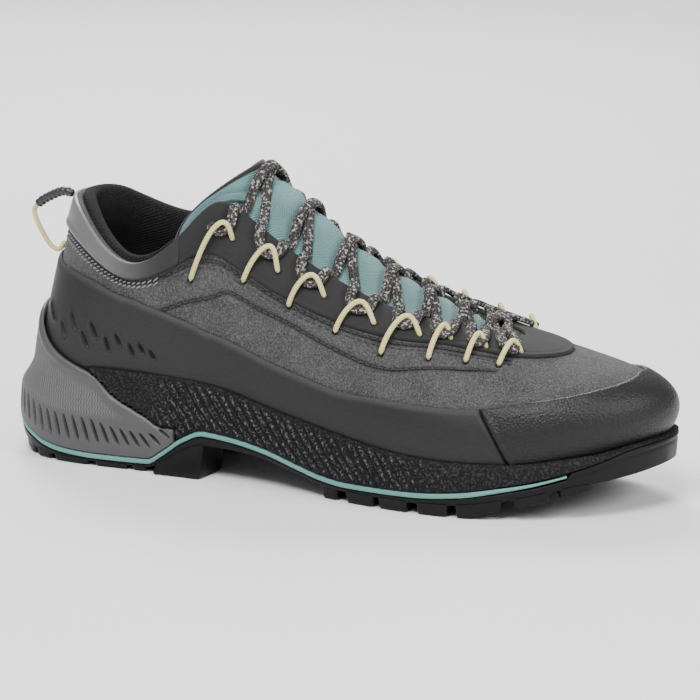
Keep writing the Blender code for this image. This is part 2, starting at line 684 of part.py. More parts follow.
def make_midsole():
    u = ring()
    x = rib_value("edge_x", u)
    base, rim = midsole_base(x), along("rim", x)
    recess = CRADLE_THICK + 3 * GAP
    covered = recess * (1 - ramp(x, COVER_END_X))
    covered_top = recess * (1 - ramp(x, COVER_TOP_X))
    step = np.minimum(along("cradle", x) + GAP, rim - GAP)
    at_rim = height_on_upper(u, rim, CUP_FACE)
    shelf = along("shelf", x)
    rings = [
        edge_point(u, shelf + 2 * GAP, along("deck", x) + GAP),
        edge_point(u, shelf + GAP, base),
        edge_point(u, EDGE_INSET + covered, base),
        sole_wall(u, step - GAP, covered),
        sole_wall(u, step, covered_top),
    ]
    rings += [sole_wall(u, step + part * (rim - step), covered_top) for part in MIDSOLE_ROWS]
    rim_inner = skin(u, at_rim, CUP_FACE)
    rim_inner[:, 2] = rim
    below = (0, 0, GAP)
    rings += [rim_inner, skin(u, at_rim / 2, CUP_FACE), skin(u, 0.0, CUP_FACE) - below,
              upper_face(u, 0.0) - below]
    roofs = []
    row = 4
    for place in range(len(u)):
        beyond = (place + 1) % len(u)
        share = u[place] + u[beyond] if u[beyond] > u[place] else 2 * u[place]
        share = min(share, 2 - share)
        if RIB_SHARE[0] < share < RIB_SHARE[1]:
            ends = []
            lean = RIB_LEAN if u[place] < 0.5 else RIB_LEAN[::-1]
            for part, side in zip(RIB_ENDS, lean[::-1]):
                low = (1 - side) * rings[row][place] + side * rings[row][beyond]
                high = (1 - side) * rings[row + 1][place] + side * rings[row + 1][beyond]
                ends.append((1 - part) * low + part * high + RIB_STAND * outward(u[place]))
            roofs.append((row, place, *ends))
    add_stack("midsole", rings, "midsole_foam", roofs)


def make_cradle():
    end = place_of(CRADLE_END_X, "outer")
    start = place_of(CRADLE_END_X, "inner") - 1
    u = ring_between(start, end)
    x = rib_value("edge_x", u)
    low, high = midsole_base(x), along("cradle", x)
    heights = [low + part * (high - low) for part in CRADLE_ROWS]
    add_layer("heel_cradle", [sole_wall(u, z, 0.0) for z in heights]
              + [sole_wall(u, z, CRADLE_THICK) for z in reversed(heights)], "cradle_plastic")


def rand_rows(u):
    """Heights v from the footbed to the rand's line."""
    line = at_share("rand_line", u)
    return [line * step / RAND_STEPS for step in range(RAND_STEPS + 1)]


def facing_rows(u):
    """Heights v from the facing's line to the topline."""
    line = at_share("facing_line", u)
    return [line + (1 - line) * step / FACING_STEPS for step in range(FACING_STEPS + 1)]


def upper_rows(u):
    """All heights v of the upper's rows."""
    low, high = at_share("rand_line", u), at_share("facing_line", u)
    between = [low + (high - low) * step / QUARTER_STEPS for step in range(1, QUARTER_STEPS)]
    return rand_rows(u) + between + facing_rows(u)


def add_skin_layer(name, u, heights, outside, inside, finish, closed=False):
    """Layer that follows the upper between two depths."""
    add_layer(name, [skin(u, v, outside) for v in heights]
              + [skin(u, v, inside) for v in reversed(heights)], finish, closed)


def make_upper():
    u = ring()
    add_skin_layer("upper", u, upper_rows(u), 0.0, -WALL, "suede", closed=True)


def cut_ends(u, heights, start_line, end_line):
    """Each row's places, its first and last moved on to slanting ends."""
    rows = []
    count = len(heights)
    for index in range(count):
        part = index / (count - 1)
        row = u.copy()
        row[0] = start_line[0] + part * (start_line[1] - start_line[0])
        row[-1] = end_line[0] + part * (end_line[1] - end_line[0])
        row[1] += (row[0] - u[0]) / 2
        row[-2] += (row[-1] - u[-1]) / 2
        rows.append(row)
    return rows


# Where the rand meets the toe cap, as the way round at the footbed and at the rand's line
CAP_JOINT = (0.389, 0.3715)
JOINT_GAP = 0.0007
PANEL_END_SHARE = 0.33


def make_rand():
    low, high = CAP_JOINT[0] - JOINT_GAP, CAP_JOINT[1] - JOINT_GAP
    u = ring_between(-high, high)
    ways = cut_ends(u, rand_rows(u), (-low, -high), (low, high))
    heights = [at_share("rand_line", way) * step / RAND_STEPS for step, way in enumerate(ways)]
    add_layer("rand", [skin(way, v, RAND_TOP) for way, v in zip(ways, heights)]
              + [skin(way, v, RAND_FOOT) for way, v in zip(ways[::-1], heights[::-1])],
              "rand_plastic")


def make_toe_cap():
    low, high = CAP_JOINT[0] + JOINT_GAP, CAP_JOINT[1] + JOINT_GAP
    u = ring_between(low, 1 - low)
    ways = cut_ends(u, rand_rows(u), (low, high), (1 - low, 1 - high))
    heights = [at_share("rand_line", way) * step / RAND_STEPS for step, way in enumerate(ways)]
    add_layer("toe_cap", [skin(way, v, CAP_TOP) for way, v in zip(ways, heights)]
              + [skin(way, v, RAND_FOOT) for way, v in zip(ways[::-1], heights[::-1])],
              "cap_rubber")


def make_facing():
    start = PANEL_END_SHARE / 2 + JOINT_GAP
    u = ring_between(start, 1 - start)
    add_skin_layer("facing", u, facing_rows(u), FACING_TOP, GAP, "facing_fabric")


def make_collar_panel():
    end = PANEL_END_SHARE / 2 - JOINT_GAP
    u = ring_between(-end, end)
    add_skin_layer("collar_panel", u, facing_rows(u), PANEL_TOP, GAP, "panel_plastic")


def make_lining():
    end = LINING_END_SHARE / 2
    u = ring_between(-end, end)
    table = columns(LINING, LINING_COLUMNS)
    rise = upper_face(u, 1.0) - upper_face(u, 0.97)
    rise /= np.linalg.norm(rise, axis=-1, keepdims=True)
    rows = [skin(u, v, depth) + lift * rise
            for v, lift, depth in zip(table["v"], table["lift"], table["depth"])]
    rows.insert(len(rows) // 2, (rows[4] + rows[5]) / 2)
    add_layer("collar_lining", rows, "lining_knit")


def make_insole():
    u = ring()
    x = rib_value("edge_x", u)
    foot = along("foot", x)
    top = foot + INSOLE_THICK
    low_ring = skin(u, 0.0, -INSOLE_FIT)
    low_ring[:, 2] = foot
    high_ring = skin(u, height_on_upper(u, top, -INSOLE_FIT), -INSOLE_FIT)
    high_ring[:, 2] = top
    dish = high_ring - INSOLE_DISH_WIDTH * outward(u) - (0, 0, INSOLE_DISH)
    add_stack("insole", [low_ring, high_ring, dish], "insole_foam")


def tongue_surface(lines, across):
    """Points of the tongue's outer face: a spline over each cross line."""
    table = columns(TONGUE, TONGUE_COLUMNS)
    rows = []
    for share, ridge_x, ridge_z, depth in zip(*(table[name] for name in TONGUE_COLUMNS)):
        wings = [skin(share / 2, v, depth) for v in TONGUE_WINGS]
        far_wings = [skin(1 - share / 2, v, depth) for v in reversed(TONGUE_WINGS)]
        ridge = np.array([ridge_x, TONGUE_MIDDLE_Y, ridge_z])
        line = np.stack(wings + [ridge] + far_wings)
        chords = np.append(0.0, np.cumsum(np.linalg.norm(np.diff(line, axis=0), axis=1)))
        middle = chords[len(TONGUE_WINGS)]
        half = np.linspace(0.0, middle, across // 2 + 1)
        other = np.linspace(middle, chords[-1], across // 2 + 1)[1:]
        at = np.concatenate([half, other])
        rows.append(np.stack([cubic(chords, line[:, k], at) for k in range(3)], -1))
    return np.stack(rows)


def make_tongue():
    outer = tongue_surface(len(TONGUE), TONGUE_ACROSS)
    down = np.gradient(outer, axis=0)
    over = np.gradient(outer, axis=1)
    normal = np.cross(over, down)
    normal /= np.linalg.norm(normal, axis=-1, keepdims=True)
    normal *= np.sign(normal[:, TONGUE_ACROSS // 2:TONGUE_ACROSS // 2 + 1, 2:3])
    inner = outer - TONGUE_THICK * normal
    add_layer("tongue", list(outer) + list(inner[::-1]), "tongue_fabric")


def on_side(share, side):
    """The way round at a share of the way to the toe, on one side."""
    return share / 2 if side == "outer" else 1 - share / 2


def make_loops():
    table = columns(LOOPS, LOOP_COLUMNS)
    t = np.linspace(0.0, 1.0, LOOP_STEPS)
    depth = LOOP_LOW + LOOP_STAND * np.sin(np.pi * t)
    for side in ("outer", "inner"):
        for number in range(len(LOOPS)):
            share, v = (cubic((0, 0.5, 1), [table[f"{part}_{what}"][number]
                                           for part in ("leg", "peak", "foot")], t)
                        for what in ("share", "v"))
            add_tube(f"lace_loop_{side}_{number + 1}", skin(on_side(share, side), v, depth),
                     CORD_RADIUS, LOOP_SIDES, "loop_cord")


def lace_turn(number, side):
    """Where the lace turns beside a loop."""
    loop = dict(zip(LOOP_COLUMNS, LOOPS[number]))
    way = on_side(loop["peak_share"], side)
    return skin(way, loop["peak_v"] + TURN_BEYOND_V, TURN_DEPTH)


def lace_path(stops):
    """Path over the tongue from stop to stop."""
    ridge = columns(TONGUE, TONGUE_COLUMNS)
    turns = [lace_turn(number, side) for number, side in stops]
    t = np.linspace(0.0, 1.0, LACE_STEPS + 1)[:-1, None]
    path = []
    for start, stop in zip(turns[:-1], turns[1:]):
        middle = (start + stop) / 2
        over = np.interp(middle[0], ridge["ridge_x"], ridge["ridge_z"])
        middle[2] = max(over, THROAT_Z) + LACE_RADIUS + LACE_OVER_TONGUE
        control = 2 * middle - (start + stop) / 2
        path.append((1 - t) ** 2 * start + 2 * t * (1 - t) * control + t ** 2 * stop)
    return np.concatenate(path + [turns[-1][None]])


def make_laces():
    count = len(LOOPS)
    first = [(k, ("outer", "inner")[k % 2]) for k in range(count)]
    second = [(k, ("inner", "outer")[k % 2]) for k in range(count)]
    body = add_tube("laces", lace_path(first + second[-1:]), LACE_RADIUS, LACE_SIDES,
                    "lace_cord")
    fuse(body, add_tube("laces_other_end", lace_path(second), LACE_RADIUS, LACE_SIDES,
                        "lace_cord"))


def make_pull_loop():
    for name, route, radius, finish in (
            ("pull_cord", PULL_CORD, CORD_RADIUS, "loop_cord"),
            ("pull_sleeve", PULL_SLEEVE, PULL_SLEEVE_RADIUS, "pull_sleeve")):
        route = np.array(route)
        chords = np.append(0.0, np.cumsum(np.linalg.norm(np.diff(route, axis=0), axis=1)))
        at = np.linspace(0.0, chords[-1], PULL_STEPS)
        x, z = (cubic(chords, route[:, k], at) for k in range(2))
        add_tube(name, np.stack([x, np.full(PULL_STEPS, PULL_Y), z], -1), radius, PULL_SIDES,
                 finish)


def main():
    for item in list(bpy.data.objects):
        bpy.data.objects.remove(item, do_unlink=True)
    for make in (make_outsole, make_stripe, make_midsole, make_cradle, make_upper, make_rand,
                 make_toe_cap, make_facing, make_collar_panel, make_lining, make_insole,
                 make_tongue, make_loops, make_laces, make_pull_loop):
        make()


main()
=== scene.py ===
"""Approach shoe for the right foot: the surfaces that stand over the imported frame.

A place on the shoe is given in millimetres: x ahead of the heel's back, y towards the inner
side and z up from the floor. The way round the last, u, runs from 0 at the heel's back along
the outer side to 0.5 at the toe and along the inner side to 1. The way up the upper, v, runs
from 0 at the footbed to 1 at the topline. The share of the way from heel to toe is 2u or
2(1 - u), the same for both sides.
"""
import math

import bmesh
import bpy
import numpy as np
from mathutils import Matrix, Vector


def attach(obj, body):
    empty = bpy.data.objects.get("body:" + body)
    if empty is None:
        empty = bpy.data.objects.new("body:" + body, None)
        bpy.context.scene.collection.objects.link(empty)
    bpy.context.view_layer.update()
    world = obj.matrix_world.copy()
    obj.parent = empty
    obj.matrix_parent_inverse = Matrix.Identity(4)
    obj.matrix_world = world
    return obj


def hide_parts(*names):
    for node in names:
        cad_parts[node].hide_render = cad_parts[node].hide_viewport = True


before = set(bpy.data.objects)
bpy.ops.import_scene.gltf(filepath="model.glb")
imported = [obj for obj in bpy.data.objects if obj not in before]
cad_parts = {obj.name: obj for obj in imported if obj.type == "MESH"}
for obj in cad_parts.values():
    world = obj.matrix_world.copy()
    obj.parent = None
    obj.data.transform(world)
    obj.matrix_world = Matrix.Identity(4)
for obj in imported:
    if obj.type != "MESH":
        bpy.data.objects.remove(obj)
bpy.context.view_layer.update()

bl_info = {
    "name": "Approach shoe",
    "version": (1, 0, 0),
    "blender": (4, 5, 0),
    "location": "View3D > Sidebar > Shoe",
    "description": "Builds the surfaces of a low approach shoe over its packed frame",
    "category": "Object",
}

MM = 0.001
GAP = 0.3
HEEL_REST_X = 40.0

# Depths across the upper's wall, outwards from its outer face
WALL = 2.0
RAND_TOP = 1.7
CAP_TOP = 1.7
FACING_TOP = 1.3
PANEL_TOP = 1.6
CUP_FACE = RAND_TOP + GAP

# The sections of the last. The sole's edge and how far the footbed is tucked in from it, the
# topline, then the handles of the curve between them: up and out from the footbed, and down
# and out from the topline.
RIB_COLUMNS = ("edge_x", "edge_y", "tuck", "top_x", "top_y", "top_z",
               "rise", "swell", "drop", "spread")
OUTER_RIBS = (
    (0, 0, 12, 24, 0, 101, 22, 0, 20, 7),
    (2.5, -13, 11, 27, -9, 100.5, 22, 0, 20, 6),
    (9, -23.5, 9, 32.5, -16.5, 98, 22, 1, 20, 5),
    (24, -32, 7, 41, -23.5, 92, 20, 3, 18, 5),
    (50, -34.5, 6, 55, -30, 83, 16, 3, 16, 3),
    (72, -34, 6, 70, -30.5, 83.5, 16, 3, 16, 3),
    (88, -34, 6, 85, -27.5, 97, 24, 3, 24, 5),
    (98, -34.6, 6, 94, -22.5, 106, 28, 3, 26, 8),
    (110, -35.5, 6, 105, -18, 101, 28, 3.5, 22, 11),
    (126, -37.8, 6, 121, -16.5, 89.5, 25, 4, 15, 13),
    (146, -41.2, 6, 141, -15, 78.5, 22, 5, 10, 15),
    (170, -45.5, 6, 164, -13.5, 69, 20, 6, 6, 18),
    (198, -47, 6, 187, -10.5, 64, 18, 7, 5, 22),
    (224, -42, 6.5, 201, -7, 61.5, 19, 8, 5, 25),
    (246, -31, 8, 208, -3, 60.2, 21, 16, 6, 29),
    (262, -15, 9, 210, -0.5, 59.8, 25, 22, 8, 33),
)
INNER_RIBS = (
    (270, 6, 9, 211, 2, 59.6, 26, 25, 8, 36),
    (267, 20, 9, 209.5, 4.5, 60, 25, 22, 8, 33),
    (255, 33.5, 8, 206, 6.5, 60.8, 21, 16, 6, 29),
    (235, 42.5, 6.5, 199, 9, 62.2, 19, 8, 5, 25),
    (210, 46.5, 6, 187, 12, 65, 18, 6, 5, 22),
    (183, 45.5, 6, 166, 15, 70.5, 20, 6, 6, 18),
    (155, 40.5, 6, 142, 16.5, 80.5, 22, 5, 10, 15),
    (130, 35, 6, 121, 17.5, 92, 25, 4, 15, 13),
    (112, 32, 6, 105, 19.5, 103.5, 28, 3.5, 22, 11),
    (99, 31.4, 6, 94, 23.5, 108, 28, 3, 26, 8),
    (86, 31.5, 6, 83, 27.5, 101, 26, 3, 24, 5),
    (68, 33, 6, 68, 29.5, 91, 20, 3, 18, 3),
    (46, 33.2, 6, 52, 29, 90, 20, 3, 18, 3),
    (24, 31, 7, 36, 23.5, 96.5, 22, 3, 20, 5),
    (9, 23, 9, 29, 15.5, 100, 22, 1, 20, 5),
    (2.5, 13, 11, 25.5, 8.5, 101, 22, 0, 20, 6),
)
TOP_HANDLE_TURN = 25.0
HALVINGS = 12
SOLVE_EVERY = 8

# Two lines along the upper, as heights v: the top of the rand and of the toe cap, and the
# bottom of the collar panel and of the facing
LINE_COLUMNS = ("share", "rand_line", "facing_line")
LINES = (
    (0.0, 0.66, 0.80),
    (0.075, 0.66, 0.83),
    (0.142, 0.71, 0.855),
    (0.20, 0.745, 0.865),
    (0.255, 0.73, 0.865),
    (0.29, 0.66, 0.86),
    (0.338, 0.49, 0.825),
    (0.365, 0.39, 0.765),
    (0.40, 0.35, 0.715),
    (0.46, 0.33, 0.70),
    (0.535, 0.33, 0.71),
    (0.62, 0.375, 0.755),
    (0.70, 0.40, 0.81),
    (0.745, 0.41, 0.81),
    (0.81, 0.46, 0.795),
    (0.88, 0.485, 0.80),
    (0.95, 0.51, 0.81),
    (1.0, 0.55, 0.82),
)
# Heights along the sole, by x: bottom of the lugs, bottom of the outsole's plate, middle of
# the coloured stripe at the edge, top of the plate inside, width of the plate's edge, rim of
# the midsole, top of the heel cradle or of the step that carries on from it, and the footbed
SOLE_COLUMNS = ("x", "tread", "plate", "stripe", "deck", "shelf", "rim", "cradle", "foot")
SOLE = (
    (0, 5.0, 9.5, 15.0, 16.0, 4.6, 31.0, 58.5, 28.0),
    (5, 2.5, 7.5, 13.0, 14.0, 4.6, 31.2, 57.0, 28.0),
    (11, 0.7, 5.0, 10.3, 11.3, 4.6, 31.6, 53.0, 28.0),
    (16, 0.0, 3.2, 8.3, 9.3, 4.6, 32.2, 49.5, 28.0),
    (22, 0.0, 2.2, 6.2, 7.2, 4.6, 33.2, 45.5, 28.0),
    (30, 0.0, 1.9, 4.8, 5.8, 4.6, 36.5, 41.5, 28.0),
    (38, 0.0, 1.6, 4.2, 5.2, 4.6, 38.7, 38.6, 28.0),
    (45, 0.0, 1.5, 3.9, 4.9, 4.6, 38.8, 36.0, 28.0),
    (54, 0.0, 1.5, 3.9, 4.9, 4.6, 38.9, 28.5, 27.8),
    (64, 0.0, 1.6, 4.0, 5.0, 4.6, 38.8, 23.5, 27.4),
    (69, 0.0, 1.7, 4.1, 5.1, 4.6, 38.7, 21.2, 27.2),
    (75, 0.0, 4.0, 7.6, 8.6, 4.6, 38.5, 18.2, 26.8),
    (84, 0.0, 9.5, 14.0, 15.0, 4.6, 38.0, 18.6, 26.2),
    (93, 0.0, 12.7, 17.6, 18.6, 4.6, 37.0, 21.8, 25.4),
    (101, 0.0, 12.6, 17.1, 18.1, 4.6, 35.8, 21.6, 24.8),
    (119, 0.0, 11.0, 14.5, 15.5, 4.6, 31.5, 19.0, 23.0),
    (137, 0.0, 7.0, 9.9, 10.9, 4.6, 28.0, 15.0, 21.0),
    (146, 0.0, 4.6, 7.8, 8.8, 4.6, 26.4, 13.0, 20.0),
    (157, 0.0, 3.8, 6.7, 7.7, 4.6, 24.6, 11.5, 18.8),
    (185, 0.0, 3.8, 7.1, 8.1, 4.6, 21.3, 11.0, 17.0),
    (205, 0.0, 4.6, 8.8, 9.8, 4.6, 20.7, 12.0, 17.0),
    (220, 3.4, 7.0, 11.5, 12.5, 4.6, 20.9, 14.0, 17.6),
    (231, 5.7, 9.0, 13.7, 14.7, 4.6, 21.5, 16.2, 18.2),
    (238, 7.4, 10.8, 15.5, 15.6, 4.6, 22.5, 17.8, 18.8),
    (245, 9.2, 12.4, 17.6, 16.2, 4.4, 23.4, 20.2, 19.6),
    (253, 12.0, 13.6, 20.5, 16.8, 2.5, 24.4, 23.0, 20.6),
    (262, 15.0, 15.3, 24.2, 18.0, 2.4, 26.6, 26.1, 21.8),
    (270, 17.2, 17.2, 26.0, 19.2, 2.4, 28.2, 27.7, 23.0),
)
STRIPE_HALF = 1.0
STRIPE_DEPTH = 4.0
STRIPE_INSET = 0.3
STRIPE_END_X = 243.0
SILL_RAMP_X = (243.0, 244.5)
EDGE_INSET = 0.5
RIM_INSET = 1.5

# The heel cradle: its thickness, its front end and how it leans in against the rand
CRADLE_THICK = 2.0
CRADLE_END_X = 80.5
COVER_END_X = (80.5, 82.0)
COVER_TOP_X = (42.0, 44.0)
HUG_HEIGHT = (26.0, 39.0)
HUG_X = (60.0, 84.0)
HUG_FACE = CUP_FACE + CRADLE_THICK
# Lugs along the sole's edge: side, back and front x, outer and inner inset, outward flare
LUG_COLUMNS = ("side", "back_x", "front_x", "outer", "inner", "flare")
EDGE_LUGS = (
    ("outer", 7, 15, 2.0, 14, 0), ("outer", 17, 25, 1.2, 13, 0),
    ("outer", 27, 43, 1.0, 13, 0), ("outer", 46, 60, 1.0, 13, 0),
    ("outer", 62, 68, 1.0, 12, 0), ("outer", 72, 93, 0.9, 17, 3.0),
    ("outer", 146, 153, 1.4, 13, 0), ("outer", 157, 169.5, 1.0, 14, 0),
    ("outer", 171.5, 184, 1.0, 14, 0), ("outer", 188, 200.5, 1.0, 14, 0),
    ("outer", 203.5, 221, 1.0, 14, 0), ("outer", 225, 237.5, 1.0, 13, 0),
    ("outer", 241, 251, 1.0, 12, 0),
    ("inner", 7, 15, 2.0, 14, 0), ("inner", 17, 25, 1.2, 13, 0),
    ("inner", 27, 43, 1.0, 13, 0), ("inner", 46, 60, 1.0, 13, 0),
    ("inner", 62, 68, 1.0, 12, 0), ("inner", 72, 93, 0.9, 16, 1.5),
    ("inner", 146, 156, 1.4, 13, 0), ("inner", 159, 171, 1.0, 14, 0),
    ("inner", 174, 186, 1.0, 14, 0), ("inner", 189, 201, 1.0, 14, 0),
    ("inner", 204, 216, 1.0, 14, 0), ("inner", 219, 231, 1.0, 13, 0),
    ("inner", 235, 247, 1.0, 12, 0),
)
ROUND_LUGS = (
    (24, 0, 6), (40, 0, 7), (57, -9, 5.5), (57, 9, 5.5),
    (162, -13, 5.5), (162, 6, 5.5), (174, -22, 5.5), (174, -4, 5.5), (174, 18, 5.5),
    (187, -13, 5.5), (187, 6, 7), (187, 24, 5), (200, -22, 5.5), (200, -5, 5.5),
    (200, 18, 5.5), (213, -13, 5.5), (213, 6, 5.5), (226, -5, 5.5), (226, 14, 5.5),
)
LUG_ROOT = 0.6

# Insole
INSOLE_THICK = 4.2
INSOLE_DISH = 1.4
INSOLE_DISH_WIDTH = 7.0
INSOLE_FIT = WALL + 1.2

# Collar lining: its section as heights v, lifts above the topline and depths
LINING_END_SHARE = 0.30
LINING_COLUMNS = ("v", "lift", "depth")
LINING = (
    (0.56, 0.0, -2.3), (0.74, 0.0, -2.3), (0.88, 0.0, -2.3), (1.0, 0.0, -2.3),
    (1.0, 2.3, -3.2), (1.0, 2.9, -5.0), (1.0, 1.6, -7.0),
    (0.96, 0.0, -8.2), (0.86, 0.0, -8.4), (0.72, 0.0, -6.4), (0.56, 0.0, -3.9),
)

# Tongue: a row per cross line, from its top to its foot. The share gives the two places where
# it leaves the throat's edges, then come its middle and how deep its wings lie.
TONGUE_COLUMNS = ("share", "ridge_x", "ridge_z", "depth")
TONGUE = (
    (0.318, 101, 118, -4.0),
    (0.333, 105, 114.2, -3.8),
    (0.352, 111, 109, -3.6),
    (0.38, 119, 102.6, -3.4),
    (0.42, 129, 95, -3.2),
    (0.47, 141, 86.6, -3.2),
    (0.53, 155, 78.9, -3.2),
    (0.60, 169, 72.9, -3.2),
    (0.67, 182, 68.6, -3.2),
    (0.75, 195, 64.2, -3.2),
    (0.84, 205, 60.4, -3.2),
    (0.93, 210, 56.8, -3.7),
)
TONGUE_WINGS = (0.80, 0.90, 1.0)
TONGUE_THICK = 3.0
TONGUE_MIDDLE_Y = 1.0

# Lace loops: where each cord leaves the facing, its peak and where it goes in again
LOOP_COLUMNS = ("leg_share", "leg_v", "peak_share", "peak_v", "foot_share", "foot_v")
LOOPS = (
    (0.343, 0.700, 0.380, 0.890, 0.397, 0.835),
    (0.412, 0.660, 0.443, 0.910, 0.458, 0.820),
    (0.475, 0.665, 0.498, 0.885, 0.520, 0.830),
    (0.540, 0.650, 0.565, 0.865, 0.590, 0.805),
    (0.605, 0.630, 0.628, 0.880, 0.653, 0.830),
    (0.670, 0.685, 0.684, 0.880, 0.698, 0.860),
    (0.725, 0.715, 0.745, 0.865, 0.762, 0.845),
    (0.780, 0.720, 0.812, 0.835, 0.838, 0.835),
)

# Pull loop at the heel: a cord and the sleeve on its upper part
PULL_Y = -1.0
PULL_CORD = ((3.2, 92.3), (3.5, 89.4), (5.0, 85.8), (7.4, 81.8), (10.6, 77.9), (13.4, 76.8),
             (16.6, 80.4))
PULL_SLEEVE = ((20.9, 99.4), (17.0, 100.3), (11.5, 98.4), (6.8, 95.8), (4.4, 93.8))
def columns(rows, names):
    """The table's columns as arrays, by name."""
    return dict(zip(names, np.array(rows, float).T))


def bends(knots, values, closed):
    """Second derivatives of the cubic spline through the knots."""
    step = np.diff(knots)
    slope = np.diff(values) / step
    count = len(knots)
    system = np.zeros((count, count))
    right = np.zeros(count)
    for k in range(1, count - 1):
        system[k, k - 1:k + 2] = step[k - 1], 2 * (step[k - 1] + step[k]), step[k]
        right[k] = 6 * (slope[k] - slope[k - 1])
    if closed:
        system[0, 0], system[0, -1] = 1, -1
        system[-1, :2] = 2 * step[0], step[0]
        system[-1, -2:] = step[-1], 2 * step[-1]
        right[-1] = 6 * (slope[0] - slope[-1])
    else:
        system[0, 0] = system[-1, -1] = 1
    return np.linalg.solve(system, right)


def on_spline(knots, values, bend, at):
    """Value of a solved spline."""
    step = np.diff(knots)
    k = np.clip(np.searchsorted(knots, at, side="right") - 1, 0, len(knots) - 2)
    ahead = at - knots[k]
    behind = knots[k + 1] - at
    return ((bend[k] * behind ** 3 + bend[k + 1] * ahead ** 3) / (6 * step[k])
            + (values[k] / step[k] - bend[k] * step[k] / 6) * behind
            + (values[k + 1] / step[k] - bend[k + 1] * step[k] / 6) * ahead)


def cubic(knots, values, at):
    """Cubic spline through the knots, natural at its ends."""
    knots, values = np.asarray(knots, float), np.asarray(values, float)
    return on_spline(knots, values, bends(knots, values, False), np.asarray(at, float))


def monotone(knots, values, at):
    """Curve through the knots that never overshoots them."""
    step = np.diff(knots)
    slope = np.diff(values) / step
    near, far = slope[:-1], slope[1:]
    heavy = 2 * step[1:] + step[:-1]
    light = step[1:] + 2 * step[:-1]
    same_way = near * far > 0
    safe_near = np.where(same_way, near, 1.0)
    safe_far = np.where(same_way, far, 1.0)
    inner = np.where(same_way, (heavy + light) / (heavy / safe_near + light / safe_far), 0.0)
    tangent = np.concatenate([slope[:1], inner, slope[-1:]])
    at = np.clip(at, knots[0], knots[-1])
    k = np.clip(np.searchsorted(knots, at, side="right") - 1, 0, len(knots) - 2)
    t = (at - knots[k]) / step[k]
    return ((1 + 2 * t) * (1 - t) ** 2 * values[k] + t * (1 - t) ** 2 * step[k] * tangent[k]
            + t * t * (3 - 2 * t) * values[k + 1] + t * t * (t - 1) * step[k] * tangent[k + 1])


def ramp(value, span):
    """Smooth step from 0 to 1 over the span."""
    t = np.clip((value - span[0]) / (span[1] - span[0]), 0.0, 1.0)
    return t * t * (3 - 2 * t)


def rib_knots():
    """Where the sections stand round the last: each side's chords fill half of the way."""
    halves = (OUTER_RIBS + INNER_RIBS[:1], INNER_RIBS + OUTER_RIBS[:1])
    knots = []
    for start, rows in zip((0.0, 0.5), halves):
        edge = np.array([row[:2] for row in rows], float)
        chords = np.cumsum(np.hypot(*np.diff(edge, axis=0).T))
        knots.append(start + 0.5 * np.append(0.0, chords[:-1]) / chords[-1])
    return np.concatenate(knots)


KNOTS = rib_knots()
KNOTS_ROUND = np.append(KNOTS, KNOTS[0] + 1.0)
RIBS = {name: np.append(values, values[0])
        for name, values in columns(OUTER_RIBS + INNER_RIBS, RIB_COLUMNS).items()}
RIB_BENDS = {name: bends(KNOTS_ROUND, values, True) for name, values in RIBS.items()}
LINE = columns(LINES, LINE_COLUMNS)
SIDE = columns(SOLE, SOLE_COLUMNS)


def rib_value(name, u):
    """A column of the sections' table at the way round u."""
    at = (np.asarray(u, float) - KNOTS[0]) % 1.0 + KNOTS[0]
    return on_spline(KNOTS_ROUND, RIBS[name], RIB_BENDS[name], at)


def at_share(name, u):
    """One of the upper's lines at the way round u."""
    round_once = np.mod(u, 1.0)
    share = 2 * np.minimum(round_once, 1 - round_once)
    return monotone(LINE["share"], LINE[name], share)


def along(name, x):
    """A column of the sole's table at x."""
    return monotone(SIDE["x"], SIDE[name], x)


def edge(u):
    """Plan of the sole's edge."""
    return np.stack([rib_value("edge_x", u), rib_value("edge_y", u)], -1)


def outward(u):
    """Level direction out of the sole's edge."""
    small = 1e-4
    ahead = edge(np.asarray(u) + small) - edge(np.asarray(u) - small)
    ahead /= np.linalg.norm(ahead, axis=-1, keepdims=True)
    return np.stack([ahead[..., 1], -ahead[..., 0], np.zeros(ahead.shape[:-1])], -1)


def edge_point(u, inset, z):
    """Point at height z, inset from the sole's edge."""
    u, inset, z = np.broadcast_arrays(np.asarray(u, float), inset, z)
    flat = np.concatenate([edge(u), z[..., None]], -1)
    return flat - inset[..., None] * outward(u)


def upper_face(u, v):
    """Point on the outer face of the upper."""
    u, v = np.broadcast_arrays(np.asarray(u, float), np.asarray(v, float))
    out = outward(u)
    up = np.array([0.0, 0.0, 1.0])
    foot = edge_point(u, rib_value("tuck", u), along("foot", rib_value("edge_x", u)))
    top = np.stack([rib_value(name, u) for name in ("top_x", "top_y", "top_z")], -1)
    away = (foot - top) * (1, 1, 0) + TOP_HANDLE_TURN * out
    away /= np.linalg.norm(away, axis=-1, keepdims=True)
    low = foot + rib_value("rise", u)[..., None] * up + rib_value("swell", u)[..., None] * out
    high = top - rib_value("drop", u)[..., None] * up + rib_value("spread", u)[..., None] * away
    v = v[..., None]
    return ((1 - v) ** 3 * foot + 3 * (1 - v) ** 2 * v * low
            + 3 * (1 - v) * v * v * high + v ** 3 * top)


def skin(u, v, depth=0.0):
    """Point on the upper, moved square to its face by the depth."""
    small = 1e-3
    u, v, depth = np.broadcast_arrays(np.asarray(u, float), np.asarray(v, float), depth)
    round_way = upper_face(u + small, v) - upper_face(u - small, v)
    up_way = upper_face(u, v + small) - upper_face(u, v - small)
    normal = np.cross(round_way, up_way)
    normal /= np.linalg.norm(normal, axis=-1, keepdims=True)
    return upper_face(u, v) + depth[..., None] * normal


def height_on_upper(u, z, depth=0.0):
    """The v at which the upper, moved out by the depth, reaches the height z."""
    u, z = np.broadcast_arrays(np.asarray(u, float), np.asarray(z, float))
    low = np.zeros(u.shape)
    high = np.ones(u.shape)
    for _ in range(HALVINGS):
        middle = (low + high) / 2
        below = skin(u, middle, depth)[..., 2] < z
        low = np.where(below, middle, low)
        high = np.where(below, high, middle)
    return (low + high) / 2


